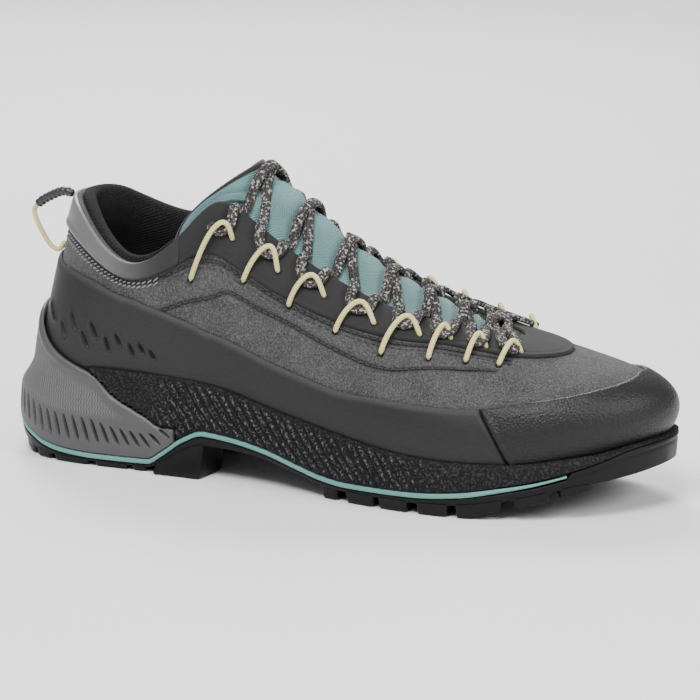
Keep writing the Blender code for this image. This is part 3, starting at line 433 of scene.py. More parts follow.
def sill(x):
    """Top of the outsole at its edge: under the stripe, then up to the deck at the toe."""
    under = along("stripe", x) - STRIPE_HALF - GAP
    return under + ramp(x, SILL_RAMP_X) * (2 * STRIPE_HALF + GAP)


def midsole_base(x):
    """Bottom of the midsole at its edge."""
    return along("stripe", x) + STRIPE_HALF + GAP


def wall_heights(u, z, depth):
    """Heights v on the upper, solved at some places and drawn smoothly between them."""
    u, z, depth = np.broadcast_arrays(u, z, depth)
    picked = np.unique(np.append(np.arange(0, len(u), SOLVE_EVERY), len(u) - 1))
    heights = height_on_upper(u[picked], z[picked], depth[picked])
    if len(picked) < 4:
        return height_on_upper(u, z, depth)
    return cubic(picked, heights, np.arange(len(u)))


def sole_wall(u, z, depth):
    """Point on the side of the sole at height z, the depth inside its outer face."""
    x = rib_value("edge_x", u)
    base = midsole_base(x)
    climb = np.clip((z - base) / (along("rim", x) - base), 0.0, 1.0)
    plain = edge_point(u, RIM_INSET * climb ** 2 + depth, z)
    weight = (ramp(z, HUG_HEIGHT) * (1 - ramp(x, HUG_X)))[..., None]
    if not weight.any():
        return plain
    hug = skin(u, wall_heights(u, z, HUG_FACE - depth), HUG_FACE - depth)
    hug[..., 2] = z
    return plain * (1 - weight) + hug * weight


def place_of(x, side):
    """The way round at which the sole's edge passes x on one side."""
    ways = np.linspace(0.0, 0.5, 801) if side == "outer" else np.linspace(1.0, 0.5, 801)
    return np.interp(x, rib_value("edge_x", ways), ways)


def placed(points):
    """Shoe millimetres to metres with the heel's rest at the origin."""
    return (np.asarray(points, float) - (HEEL_REST_X, 0, 0)) * MM


def on_side(share, side):
    """The way round at a share of the way to the toe, on one side."""
    return share / 2 if side == "outer" else 1 - share / 2


# Millimetres that a whole share and a whole v take, nearly
SHARE_AND_V = (300.0, 60.0)

# The way round against millimetres, three times round
ROUND = np.linspace(-1.0, 2.0, 6001)
GIRTH = np.append(0.0, np.cumsum(np.hypot(*np.diff(edge(ROUND), axis=0).T)))
GIRTH -= np.interp(0.0, ROUND, GIRTH)


def girth(u):
    """Millimetres round the sole's edge at the way round u."""
    return np.interp(u, ROUND, GIRTH)


def way_at(length):
    """The way round at so many millimetres round the sole's edge."""
    return np.interp(length, GIRTH, ROUND)


def ways(start, stop, step):
    """Ways round between two ends, even steps apart."""
    low, high = girth(start), girth(stop)
    count = int(np.ceil((high - low) / step)) + 1
    return way_at(np.linspace(low, high, count))


def ease(t):
    """Smooth step of a value that is held between 0 and 1."""
    t = np.clip(t, 0.0, 1.0)
    return t * t * (3 - 2 * t)


def dip(distance, width):
    """1 on a line, falling softly to 0 at the width from it."""
    return ease(1 - np.abs(distance) / width)


def round_edge(distance, radius):
    """Height of a rounded edge, 0 at the edge to 1 from the radius on."""
    t = np.clip(distance / radius, 0.0, 1.0)
    return np.sqrt(1 - (1 - t) ** 2)


def to_line(points, line):
    """Distance of each point to a line of straight pieces."""
    nearest = np.full(points.shape[:-1], np.inf)
    for start, stop in zip(line[:-1], line[1:]):
        way = stop - start
        t = np.clip((points - start) @ way / (way @ way), 0.0, 1.0)
        gap = np.linalg.norm(points - start - t[..., None] * way, axis=-1)
        nearest = np.minimum(nearest, gap)
    return nearest


def to_slot(points, start, stop, narrow):
    """Distance to a slot that is widest in its middle, less its half width there."""
    way = stop - start
    t = np.clip((points - start) @ way / (way @ way), 0.0, 1.0)
    gap = np.linalg.norm(points - start - t[..., None] * way, axis=-1)
    return gap - narrow * np.sqrt(np.clip(4 * t * (1 - t), 0.0, 1.0))


def lengths_along(points):
    """Length from a line's start to each of its points."""
    return np.append(0.0, np.cumsum(np.linalg.norm(np.diff(points, axis=0), axis=1)))


def headings(path):
    """Directions along a path."""
    way = np.gradient(path, axis=0)
    return way / np.linalg.norm(way, axis=1, keepdims=True)


def measure(name):
    """One of the scene's sizes, in millimetres."""
    return getattr(bpy.context.scene.shoe_sizes, name) / MM


def smooth_line(stops, step):
    """Spline through the stops, sampled even steps apart."""
    stops = np.asarray(stops, float)
    chords = lengths_along(stops)
    count = max(int(chords[-1] / step), 4)
    at = np.linspace(0.0, chords[-1], count + 1)
    return np.stack([cubic(chords, stops[:, k], at) for k in range(stops.shape[1])], -1)


def skin_line(stops, side, depth, step):
    """Line on the upper through places given as share and v."""
    path = smooth_line(np.asarray(stops) * SHARE_AND_V, step) / SHARE_AND_V
    return skin(on_side(path[:, 0], side), path[:, 1], depth)


def normals(grid):
    """Directions square to a grid of points."""
    over = np.gradient(grid, axis=1)
    down = np.gradient(grid, axis=0)
    square = np.cross(over, down)
    return square / np.maximum(np.linalg.norm(square, axis=-1, keepdims=True), 1e-9)


def grid_faces(rows, places, rows_closed=False, places_closed=False):
    """Quads of a grid of points."""
    row, place = np.meshgrid(np.arange(rows if rows_closed else rows - 1),
                             np.arange(places if places_closed else places - 1),
                             indexing="ij")
    above, beyond = (row + 1) % rows, (place + 1) % places
    return np.stack([row * places + place, row * places + beyond,
                     above * places + beyond, above * places + place], -1).reshape(-1, 4)


def cross_strips(first, places):
    """Faces that close a ring by lines across the shoe."""
    faces = []
    for near in range(places // 2):
        a, b = first + near, first + near + 1
        c, d = first + (places - near - 1) % places, first + (places - near) % places
        corners = [a, b, c, d]
        faces.append(list(dict.fromkeys(corners)))
    return [face for face in faces if len(face) > 2]


class Solid:
    """Points, faces and marks gathered for one piece."""

    def __init__(self):
        """Start with nothing gathered."""
        self.points = []
        self.faces = []
        self.marks = {}
        self.pattern = []
        self.count = 0

    def add(self, points, faces, pattern=None, **marks):
        """Add points and faces, with a value of each mark for every point."""
        points = np.asarray(points, float).reshape(-1, 3)
        self.faces += [[corner + self.count for corner in face]
                       for face in (faces.tolist() if hasattr(faces, "tolist") else faces)]
        self.points.append(points)
        flat = np.zeros((len(points), 2)) if pattern is None else pattern.reshape(-1, 2)
        self.pattern.append(flat)
        for name, values in marks.items():
            values = np.broadcast_to(np.asarray(values, float), points.shape[:1]
                                     if np.ndim(values) == 0 else np.shape(values))
            self.marks.setdefault(name, []).append((self.count, values.ravel()))
        self.count += len(points)

    def make(self, name, material, slot, replaced, turn=0.0, sharp=None):
        """Turn what was gathered into a piece that rides on the body."""
        mesh = bpy.data.meshes.new(name)
        mesh.from_pydata(placed(np.concatenate(self.points)).tolist(), [], self.faces)
        work = bmesh.new()
        work.from_mesh(mesh)
        bmesh.ops.recalc_face_normals(work, faces=work.faces)
        work.to_mesh(mesh)
        work.free()
        corner_points = np.empty(len(mesh.loops), int)
        mesh.loops.foreach_get("vertex_index", corner_points)
        flat = np.concatenate(self.pattern)[corner_points]
        if turn:
            starts = np.empty(len(mesh.polygons), int)
            mesh.polygons.foreach_get("loop_start", starts)
            highest = np.maximum.reduceat(flat[:, 1], starts)
            sizes = np.diff(np.append(starts, len(flat)))
            flat[:, 1] += turn * (np.repeat(highest, sizes) - flat[:, 1] > turn / 2)
        layer = mesh.uv_layers.new(name="pattern")
        layer.uv.foreach_set("vector", flat.astype(np.float32).ravel())
        for mark, parts in self.marks.items():
            values = np.zeros(self.count, np.float32)
            for start, part in parts:
                values[start:start + len(part)] = part
            attribute = mesh.attributes.new(mark, "FLOAT", "POINT")
            attribute.data.foreach_set("value", values)
        mesh.shade_smooth()
        if sharp:
            mesh.set_sharp_from_angle(angle=math.radians(sharp))
        mesh.materials.append(material)
        piece = bpy.data.objects.new(name, mesh)
        bpy.context.scene.collection.objects.link(piece)
        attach(piece, "root")
        if replaced:
            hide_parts(*replaced)
        return piece


def layer_solid(outer, inner, closed=False, pattern=None, **marks):
    """A layer from its outer face's rows upwards and its inner face's rows upwards."""
    grid = np.concatenate([outer, inner[::-1]])
    rows, places = grid.shape[:2]
    solid = Solid()
    faces = grid_faces(rows, places, True, closed).tolist()
    if not closed:
        for end in (0, places - 1):
            faces.append([row * places + end for row in range(rows)])
    whole = {}
    for name, values in marks.items():
        whole[name] = np.concatenate([values, np.zeros(inner.shape[:2])]).ravel()
    flat = np.zeros(grid.shape[:2] + (2,))
    if pattern is not None:
        flat[:outer.shape[0]] = pattern
    solid.add(grid, faces, flat, **whole)
    return solid


def sweep(solid, path, up, half_wide, half_high, sides, swell=None, power=2.0):
    """Add a cord along the path, its section an oval flattened along up, ends rounded."""
    way = headings(path)
    up = up - way * (up * way).sum(1, keepdims=True)
    up /= np.linalg.norm(up, axis=1, keepdims=True)
    side = np.cross(way, up)
    turns = 2 * np.pi * np.arange(sides) / sides
    across = np.sign(np.cos(turns)) * np.abs(np.cos(turns)) ** (2 / power)
    over = np.sign(np.sin(turns)) * np.abs(np.sin(turns)) ** (2 / power)
    length = lengths_along(path)
    near = np.minimum(length, length[-1] - length)
    size = np.maximum(round_edge(near + 0.05, min(half_wide, half_high)), 0.25)
    if swell is not None:
        size = size * swell(length)
    offset = (across[None, :, None] * half_wide * side[:, None]
              + over[None, :, None] * half_high * up[:, None])
    rings = path[:, None] + size[:, None, None] * offset
    count = len(path)
    faces = grid_faces(count, sides, False, True).tolist()
    faces += [list(range(sides)), list(range((count - 1) * sides, count * sides))]
    around = 2 * np.pi * (half_wide + half_high) / 2 * np.arange(sides) / sides
    pattern = np.stack(np.broadcast_arrays(length[:, None], around[None]), -1)
    solid.add(rings, faces, pattern)


def carried(path, start_up):
    """Directions square to the path, turned as little as possible along it."""
    up = np.asarray(start_up, float)
    ups = []
    for direction in headings(path):
        up = up - direction * (up @ direction)
        up = up / np.linalg.norm(up)
        ups.append(up)
    return np.array(ups)


class Value:
    """A socket that takes part in sums and products."""

    def __init__(self, tree, socket):
        """Hold a socket and the tree that it is in."""
        self.tree = tree
        self.socket = socket

    def _sum(self, operation, first, second=None):
        """A maths node's result on one or two values."""
        node = self.tree.nodes.new("ShaderNodeMath")
        node.operation = operation
        for place, value in enumerate((first, second)):
            if isinstance(value, Value):
                self.tree.links.new(value.socket, node.inputs[place])
            elif value is not None:
                node.inputs[place].default_value = value
        return Value(self.tree, node.outputs[0])

    def __add__(self, other):
        return self._sum("ADD", self, other)

    def __radd__(self, other):
        return self._sum("ADD", other, self)

    def __sub__(self, other):
        return self._sum("SUBTRACT", self, other)

    def __rsub__(self, other):
        return self._sum("SUBTRACT", other, self)

    def __mul__(self, other):
        return self._sum("MULTIPLY", self, other)

    def __rmul__(self, other):
        return self._sum("MULTIPLY", other, self)

    def wave(self):
        """Sine of the value."""
        return self._sum("SINE", self)

    def most(self, other):
        """The larger of two."""
        return self._sum("MAXIMUM", self, other)

    def step(self, low, high):
        """Smooth step from 0 at low to 1 at high."""
        node = self.tree.nodes.new("ShaderNodeMapRange")
        node.interpolation_type = "SMOOTHSTEP"
        self.tree.links.new(self.socket, node.inputs[0])
        node.inputs[1].default_value = low
        node.inputs[2].default_value = high
        return Value(self.tree, node.outputs[0])


class Finish:
    """A material being put together."""

    def __init__(self, name, roughness=0.6, sheen=0.0, specular=0.5, coat=0.0):
        """A new material with its shader's plain values."""
        self.material = bpy.data.materials.new(name)
        self.material.use_nodes = True
        self.tree = self.material.node_tree
        self.shader = self.tree.nodes["Principled BSDF"]
        self.set("Roughness", roughness)
        self.set("Sheen Weight", sheen)
        self.set("Specular IOR Level", specular)
        self.set("Coat Weight", coat)
        self.set("Coat Roughness", 0.35)

    def set(self, name, value):
        """Give one of the shader's sockets a value or a link."""
        if isinstance(value, Value):
            self.tree.links.new(value.socket, self.shader.inputs[name])
        else:
            self.shader.inputs[name].default_value = value

    def node(self, kind, settings=None, inputs=None, output=0):
        """A node of any kind, its settings first and then its sockets."""
        node = self.tree.nodes.new(kind)
        for name, value in (settings or {}).items():
            setattr(node, name, value)
        for name, value in (inputs or {}).items():
            if isinstance(value, Value):
                self.tree.links.new(value.socket, node.inputs[name])
            else:
                node.inputs[name].default_value = value
        return Value(self.tree, node.outputs[output])

    def place(self):
        """Where the surface is on the object, in metres."""
        return self.node("ShaderNodeTexCoord", output="Object")

    def mark(self, name):
        """A mark that the mesh carries."""
        return self.node("ShaderNodeAttribute", {"attribute_name": name}, output="Fac")

    def pattern(self):
        """Millimetres along and across the piece."""
        flat = self.node("ShaderNodeUVMap", {"uv_map": "pattern"})
        split = self.tree.nodes.new("ShaderNodeSeparateXYZ")
        self.tree.links.new(flat.socket, split.inputs[0])
        return Value(self.tree, split.outputs[0]), Value(self.tree, split.outputs[1])

    def grain(self, millimetres, detail=2.0, rough=0.6, stretch=None):
        """Noise with grains of a size."""
        place = self.place()
        if stretch:
            place = self.node("ShaderNodeVectorMath", {"operation": "MULTIPLY"},
                              {0: place, 1: stretch})
        return self.node("ShaderNodeTexNoise", None,
                         {"Vector": place, "Scale": 1000.0 / millimetres, "Detail": detail,
                          "Roughness": rough})

    def cells(self, millimetres, feature="F1"):
        """Distance inside cells of a size."""
        return self.node("ShaderNodeTexVoronoi", {"feature": feature},
                         {"Vector": self.place(), "Scale": 1000.0 / millimetres})

    def blend(self, factor, first, second):
        """Colour between two by the factor."""
        return self.node("ShaderNodeMix", {"data_type": "RGBA"},
                         {0: factor, 6: first if isinstance(first, Value) else (*first, 1.0),
                          7: second if isinstance(second, Value) else (*second, 1.0)}, 2)

    def tones(self, factor, colour, dark, light):
        """A colour between a darker and a lighter tone of it."""
        return self.blend(factor, times(colour, dark), times(colour, light))

    def relief(self, height, millimetres, strength=1.0):
        """Bump of so many millimetres over the shape."""
        self.set("Normal", self.node("ShaderNodeBump", None,
                                     {"Strength": strength, "Distance": millimetres * MM,
                                      "Height": height}))


def times(colour, factor):
    """A colour made lighter or darker."""
    return tuple(min(channel * factor, 1.0) for channel in colour)


def suede_finish(colour):
    """Brushed suede, with painted shade in its seam troughs and round the holes."""
    look = Finish("suede", roughness=0.92, sheen=0.1, specular=0.15)
    nap, patch, speck = look.grain(0.5, 3.0, 0.75), look.grain(14.0, 3.0), look.grain(0.75, 1.0)
    tone = nap.step(0.36, 0.62) * 0.55 + patch.step(0.3, 0.7) * 0.2 + speck.step(0.52, 0.62) * 0.4
    shade = look.tones(tone, colour, 0.4, 2.1)
    # Painted shade: the seam troughs and the pits round the loops' holes are darkened nearly to
    # black.
    dark = (look.mark("groove") * 0.75).most(look.mark("hole"))
    look.set("Base Color", look.blend(dark, shade, times(colour, 0.06)))
    look.relief(nap * 0.7 + look.grain(1.6, 3.0) * 0.6, 0.5, 0.9)
    return look.material


def rand_finish(colour, suede):
    """Smooth matte film, fading into the suede at its upper edge, its slots filled black as
    painted shade.
    """
    look = Finish("rand_film", specular=0.3)
    brushed = look.grain(0.5, 3.0, 0.6, (0.18, 0.3, 1.0))
    patch = look.grain(22.0, 2.0)
    film = look.tones(brushed.step(0.3, 0.7) * 0.6 + patch * 0.4, colour, 0.8, 1.3)
    nap = look.grain(0.4, 3.0, 0.7)
    soft = look.mark("fade")
    shade = look.blend(soft, film, look.blend(nap.step(0.3, 0.7), times(suede, 0.6),
                                              times(suede, 1.2)))
    # Painted shade: the slots are filled nearly black.
    look.set("Base Color", look.blend(look.mark("slot"), shade, (0.002, 0.002, 0.002)))
    look.set("Roughness", 0.43 + brushed * 0.12 + soft * 0.35)
    look.relief(brushed * (1 - soft) * 0.25 + nap * soft, 0.25, 0.7)
    return look.material


def cap_finish(colour):
    """Finely pebbled rubber, each pebble's raised middle painted lighter and the hollows between
    darker as painted highlight and shade.
    """
    look = Finish("toe_cap_rubber", specular=0.32, coat=0.03)
    pebble = look.cells(0.95)
    fine = look.grain(0.4, 2.0)
    # Painted highlight and shade: the pebbles' raised middles are lighter and the hollows between
    # them darker.
    look.set("Base Color", look.tones(pebble, colour, 1.35, 0.75))
    look.set("Roughness", 0.3 + pebble * 0.2 + look.grain(9.0) * 0.1)
    look.relief((1 - pebble) * 0.8 + fine * 0.2, 0.28, 0.9)
    return look.material


def cradle_finish(colour):
    """Satin moulded plastic, grained in its middle with painted highlight on the grain's raised
    zigzag, its slots filled black as painted shade.
    """
    look = Finish("cradle_plastic", specular=0.45)
    fine, patch = look.grain(0.5, 2.0), look.grain(16.0, 2.0)
    along_way, up_way = look.pattern()
    zigzag = ((along_way * 5.2 + ((up_way * 2.6).wave() * 1.2)).wave()) * 0.5 + 0.5
    grained = look.mark("grain")
    shade = look.tones(fine * 0.5 + patch * 0.5, colour, 0.75, 1.25)
    # Painted highlight: the raised zigzag of the grained zone is lightened.
    shade = look.blend(grained * zigzag * 0.85, shade, times(colour, 2.2))
    # Painted shade: the slots are filled nearly black.
    look.set("Base Color", look.blend(look.mark("slot"), shade, (0.003, 0.003, 0.003)))
    look.set("Roughness", 0.42 + fine * 0.1 + grained * 0.1)
    look.relief(fine * 0.2 + grained * zigzag, 0.3, 0.7)
    return look.material


def panel_finish(colour, front):
    """Satin coated cloth, dark towards the facing."""
    look = Finish("collar_panel_film", specular=0.5)
    fine, patch = look.grain(0.45, 2.0), look.grain(9.0, 2.0)
    fade = look.mark("fade")
    shade = look.tones(fine * 0.4 + patch * 0.6, colour, 0.8, 1.2)
    look.set("Base Color", look.blend(fade, shade, front))
    look.set("Roughness", 0.33 + fine * 0.1 + fade * 0.35)
    look.relief(fine, 0.12, 0.6)
    return look.material


def facing_finish(colour):
    """Brushed microfibre, the loops' holes filled black as painted shade."""
    look = Finish("facing_fabric", roughness=0.72, sheen=0.03, specular=0.35)
    nap, patch = look.grain(0.3, 3.0, 0.7), look.grain(10.0, 2.0)
    shade = look.tones(nap.step(0.3, 0.7) * 0.6 + patch * 0.4, colour, 0.6, 1.5)
    # Painted shade: the loops' holes are filled nearly black.
    look.set("Base Color", look.blend(look.mark("hole"), shade, (0.002, 0.002, 0.002)))
    look.relief(nap, 0.25, 0.8)
    return look.material


def knit_finish(name, colour, pitch):
    """Open knit of a given pitch in millimetres."""
    look = Finish(name, roughness=0.95, sheen=0.02, specular=0.15)
    along_way, up_way = look.pattern()
    turn = 2 * math.pi / pitch
    loops = ((along_way * turn).wave() * ((up_way * turn) + (along_way * turn * 0.5)).wave())
    bright = look.grain(0.5, 2.0).step(0.52, 0.7)
    tone = loops * 0.25 + 0.25 + bright * 0.6
    look.set("Base Color", look.tones(tone, colour, 0.25, 4.5))
    look.relief(loops * 0.5 + look.grain(0.4) * 0.6, 0.4, 0.9)
    return look.material


def tongue_finish(colour, binding):
    """Woven cloth with a darker bound edge."""
    look = Finish("tongue_weave", roughness=0.85, sheen=0.2, specular=0.3)
    along_way, across = look.pattern()
    first = ((along_way + across) * (2 * math.pi / 1.9)).wave()
    second = ((along_way - across * 1.15) * (2 * math.pi / 1.7)).wave()
    weave = (first * second) * 0.5 + 0.5
    fibres = look.grain(0.35, 3.0, 0.7)
    patch = look.grain(6.0, 2.0)
    tone = weave * 0.7 + fibres.step(0.3, 0.7) * 0.25 + patch * 0.15
    shade = look.tones(tone, colour, 0.22, 1.75)
    band = look.mark("binding")
    cloth = look.blend(fibres, times(binding, 0.5), times(binding, 1.7))
    look.set("Base Color", look.blend(band, shade, cloth))
    look.relief((1 - band) * weave + fibres * 0.35, 0.6, 1.0)
    return look.material


def midsole_finish(colour):
    """Moulded foam with light flecks, faint off the ribs and brightest on the rib crests as
    painted highlight.
    """
    look = Finish("midsole_foam", specular=0.2)
    along_way, up_way = look.pattern()
    ribs, crest = look.mark("ribs"), look.mark("crest")
    flecks = look.grain(0.9, 2.0, 0.6).step(0.47, 0.6)
    rows = (along_way * 3.6 + up_way * 2.2).wave() * 0.5 + 0.5
    # Partly painted highlight: the flecks are the foam's own, and their brightening on the rib
    # crests stands in for the crests catching light.
    light = flecks * (0.12 * (1 - ribs) + crest * ribs * (0.25 + rows * 0.75))
    look.set("Base Color", look.tones(light, colour, 0.6, 24.0))
    look.set("Roughness", 0.62 + look.grain(0.8) * 0.2)
    look.relief(flecks * 0.5 + rows * ribs * crest * 0.8, 0.35, 0.9)
    return look.material


def stripe_finish(colour):
    """Matte foam edge."""
    look = Finish("stripe_foam", roughness=0.5)
    fine, patch = look.grain(0.6, 2.0), look.grain(12.0, 2.0)
    look.set("Base Color", look.tones(fine * 0.5 + patch * 0.5, colour, 0.75, 1.2))
    look.relief(fine, 0.12, 0.5)
    return look.material


def outsole_finish(colour):
    """Matte moulded rubber."""
    look = Finish("outsole_rubber", specular=0.16, coat=0.02)
    fine, patch = look.grain(0.6, 3.0), look.grain(11.0, 3.0)
    look.set("Base Color", look.tones(patch.step(0.35, 0.7) * 0.6 + fine * 0.4, colour, 0.6, 1.5))
    look.set("Roughness", 0.36 + patch.step(0.3, 0.75) * 0.22)
    look.relief(fine * 0.3 + patch * 0.4, 0.2, 0.6)
    return look.material


def lace_finish(colour):
    """Braid of grey yarns with lighter flecks."""
    look = Finish("lace_braid", roughness=0.85, sheen=0.05, specular=0.2)
    along_way, around = look.pattern()
    ribs = (around * (2 * math.pi / 1.0)).wave()
    slant = ((along_way * 4.2) + ribs * 1.4).wave()
    flecks = look.grain(1.1, 1.0).step(0.56, 0.62)
    tone = ribs * 0.2 + slant * 0.15 + 0.3
    shade = look.tones(tone, colour, 0.35, 1.7)
    look.set("Base Color", look.blend(flecks * 0.9, shade, (0.42, 0.40, 0.36)))
    look.relief(ribs * 0.6 + slant * 0.4, 0.45, 1.0)
    return look.material


def cord_finish(colour):
    """Smooth cord with a fine lay."""
    look = Finish("loop_cord", roughness=0.55, specular=0.4)
    along_way, around = look.pattern()
    lay = (along_way * 5.0 + around * 2.4).wave() * 0.5 + 0.5
    dirt = look.grain(4.0, 3.0).step(0.45, 0.8)
    shade = look.tones(lay, colour, 0.85, 1.06)
    look.set("Base Color", look.blend(dirt * 0.35, shade, times(colour, 0.6)))
    look.relief(lay, 0.12, 0.7)
    return look.material


def sleeve_finish(colour):
    """Satin wrapped tube."""
    look = Finish("pull_sleeve_film", roughness=0.35, specular=0.5, coat=0.15)
    fine = look.grain(0.7, 2.0)
    look.set("Base Color", look.tones(fine, colour, 0.6, 1.4))
    look.relief(fine, 0.15, 0.6)
    return look.material


def thread_finish(name, colour):
    """Sewing thread."""
    look = Finish(name, roughness=0.7, sheen=0.1)
    twist = look.grain(0.25, 1.0)
    look.set("Base Color", look.tones(twist, colour, 0.6, 1.4))
    look.relief(twist, 0.1, 0.7)
    return look.material


def floor_finish(colour):
    """Plain pale floor."""
    look = Finish("floor", roughness=0.7, specular=0.2)
    look.set("Base Color", look.tones(look.grain(60.0, 3.0), colour, 0.99, 1.01))
    look.relief(look.grain(2.0), 0.02, 0.2)
    return look.material


# Where the collar strip meets the facing, and where the rand meets the toe cap as the way
# round at the footbed and at the rand's line
PANEL_JOINT_SHARE = 0.33
CAP_JOINT = (0.389, 0.3715)

# Slots sunk into the rand, from share and v to share and v
RAND_SLOTS = (
    (0.095, 0.46, 0.122, 0.40), (0.138, 0.415, 0.152, 0.33), (0.152, 0.495, 0.168, 0.40),
    (0.178, 0.415, 0.192, 0.325), (0.19, 0.495, 0.205, 0.40), (0.217, 0.43, 0.225, 0.34),
    (0.233, 0.47, 0.243, 0.395), (0.255, 0.425, 0.262, 0.34), (0.27, 0.43, 0.277, 0.36),
    (0.285, 0.385, 0.292, 0.315),
)

# Rows of stitches, as share and v
HIGH_SEAM = ((0.03, 0.775), (0.075, 0.80), (0.142, 0.825), (0.20, 0.838), (0.255, 0.838),
             (0.29, 0.832), (0.325, 0.812), (0.343, 0.785), (0.363, 0.74), (0.387, 0.70),
             (0.415, 0.685), (0.46, 0.675), (0.535, 0.685), (0.595, 0.712), (0.628, 0.735),
             (0.668, 0.77), (0.713, 0.785), (0.768, 0.78), (0.805, 0.772))
LOW_SEAM = ((0.305, 0.62), (0.338, 0.60), (0.375, 0.555), (0.387, 0.575), (0.408, 0.58),
            (0.432, 0.57), (0.468, 0.575), (0.493, 0.57), (0.533, 0.555), (0.552, 0.55),
            (0.585, 0.54), (0.618, 0.555), (0.66, 0.61), (0.773, 0.675))
# Soft folds: places as share and v, depth and half width
SUEDE_FOLDS = (
    (((0.70, 0.72), (0.735, 0.62), (0.76, 0.55)), 0.5, 5.0),
    (((0.30, 0.78), (0.33, 0.70), (0.345, 0.62)), 0.4, 6.0),
    (((0.60, 0.68), (0.625, 0.60), (0.63, 0.50)), 0.35, 6.0),
    (((0.80, 0.74), (0.835, 0.64), (0.845, 0.52)), 0.6, 5.0),
)
CAP_FOLDS = ((((0.775, 0.42), (0.83, 0.43), (0.88, 0.43)), 0.5, 3.5),)


FOLD_STEP = 4.0
PIT_SOFT = 1.6
PIT_IN_SUEDE = 0.6
PIT_IN_FACING = 1.3


def folds_on(points, folds):
    """Depth of the soft folds at each point."""
    depth = np.zeros(points.shape[:-1])
    for stops, deep, wide in folds:
        for side in ("outer", "inner"):
            line = skin_line(stops, side, 0.0, FOLD_STEP)
            depth += deep * dip(to_line(points, line), wide)
    return depth


def loop_rows():
    """The loops' table as one dictionary a loop."""
    return [dict(zip(LOOP_COLUMNS, row)) for row in LOOPS]


def loop_feet():
    """Where the loops go into the upper and the facing."""
    feet = []
    for side in ("outer", "inner"):
        for loop in loop_rows():
            feet.append(skin(on_side(loop["leg_share"], side), loop["leg_v"], PIT_IN_SUEDE))
            feet.append(skin(on_side(loop["foot_share"], side), loop["foot_v"], PIT_IN_FACING))
    return np.array(feet)


def pits(points, radius):
    """1 in the small holes at the loops' feet, 0 away from them."""
    nearest = np.full(points.shape[:-1], np.inf)
    for foot in loop_feet():
        nearest = np.minimum(nearest, np.linalg.norm(points - foot, axis=-1))
    return ease(PIT_SOFT - nearest / radius)


UPPER_STEP = 1.25
UPPER_ROWS = 90
UPPER_INNER_ROWS = 12
SEAM_STEP = 3.0
SEAM_WIDE = 1.6
SUEDE_PIT_WIDE = 1.15
SUEDE_PIT_DEEP = 1.0
SWELL = 0.15
SWELL_TURNS = 40


def build_upper():
    """The suede upper, with troughs under its seams, pits at the loops and soft folds."""
    u = ways(0.0, 1.0, UPPER_STEP)[:-1]
    v = np.linspace(0.0, 1.0, UPPER_ROWS)[:, None]
    u_grid, v_grid = np.broadcast_arrays(u[None], v)
    base = skin(u_grid, v_grid)
    grooves = np.zeros(base.shape[:2])
    for side in ("outer", "inner"):
        for seam in (HIGH_SEAM, LOW_SEAM):
            grooves += dip(to_line(base, skin_line(seam, side, 0.0, SEAM_STEP)), SEAM_WIDE)
    holes = pits(base, SUEDE_PIT_WIDE)
    sunk = measure("seam_depth") * grooves + SUEDE_PIT_DEEP * holes + folds_on(base, SUEDE_FOLDS)
    swell = SWELL * np.sin(u_grid * SWELL_TURNS) * np.sin(np.pi * v_grid) ** 2
    outer = skin(u_grid, v_grid, swell - sunk)
    inner = skin(u[None], np.linspace(0.0, 1.0, UPPER_INNER_ROWS)[:, None], -WALL)
    # The seam and hole marks carry painted shade for the seam troughs and the pits at the loops.
    solid = layer_solid(outer, inner, True, groove=np.minimum(grooves, 1), hole=holes)
    return solid.make("upper_suede", finish("suede"), "suede", ["upper"])


RAND_ROWS = 88
RAND_STEP = 1.3
SLOTTED_WAY = 0.165
SLOTTED_STEP = 0.42
RAND_LEAN_FROM = 0.8
SLOT_SOFT = 0.5
SLOT_RIM = 0.22
SLOT_RIM_WIDE = 0.6
FAR = 9.0
RAND_LIFT = 0.45
RAND_INSIDE = 0.1
RAND_TOP_ROUND = 3.2
RAND_END_ROUND = 0.9
RAND_FADE = 3.4
EDGE_START = 0.03
END_START = 0.05
HAIRLINE = 0.0001
INNER_EVERY = 11


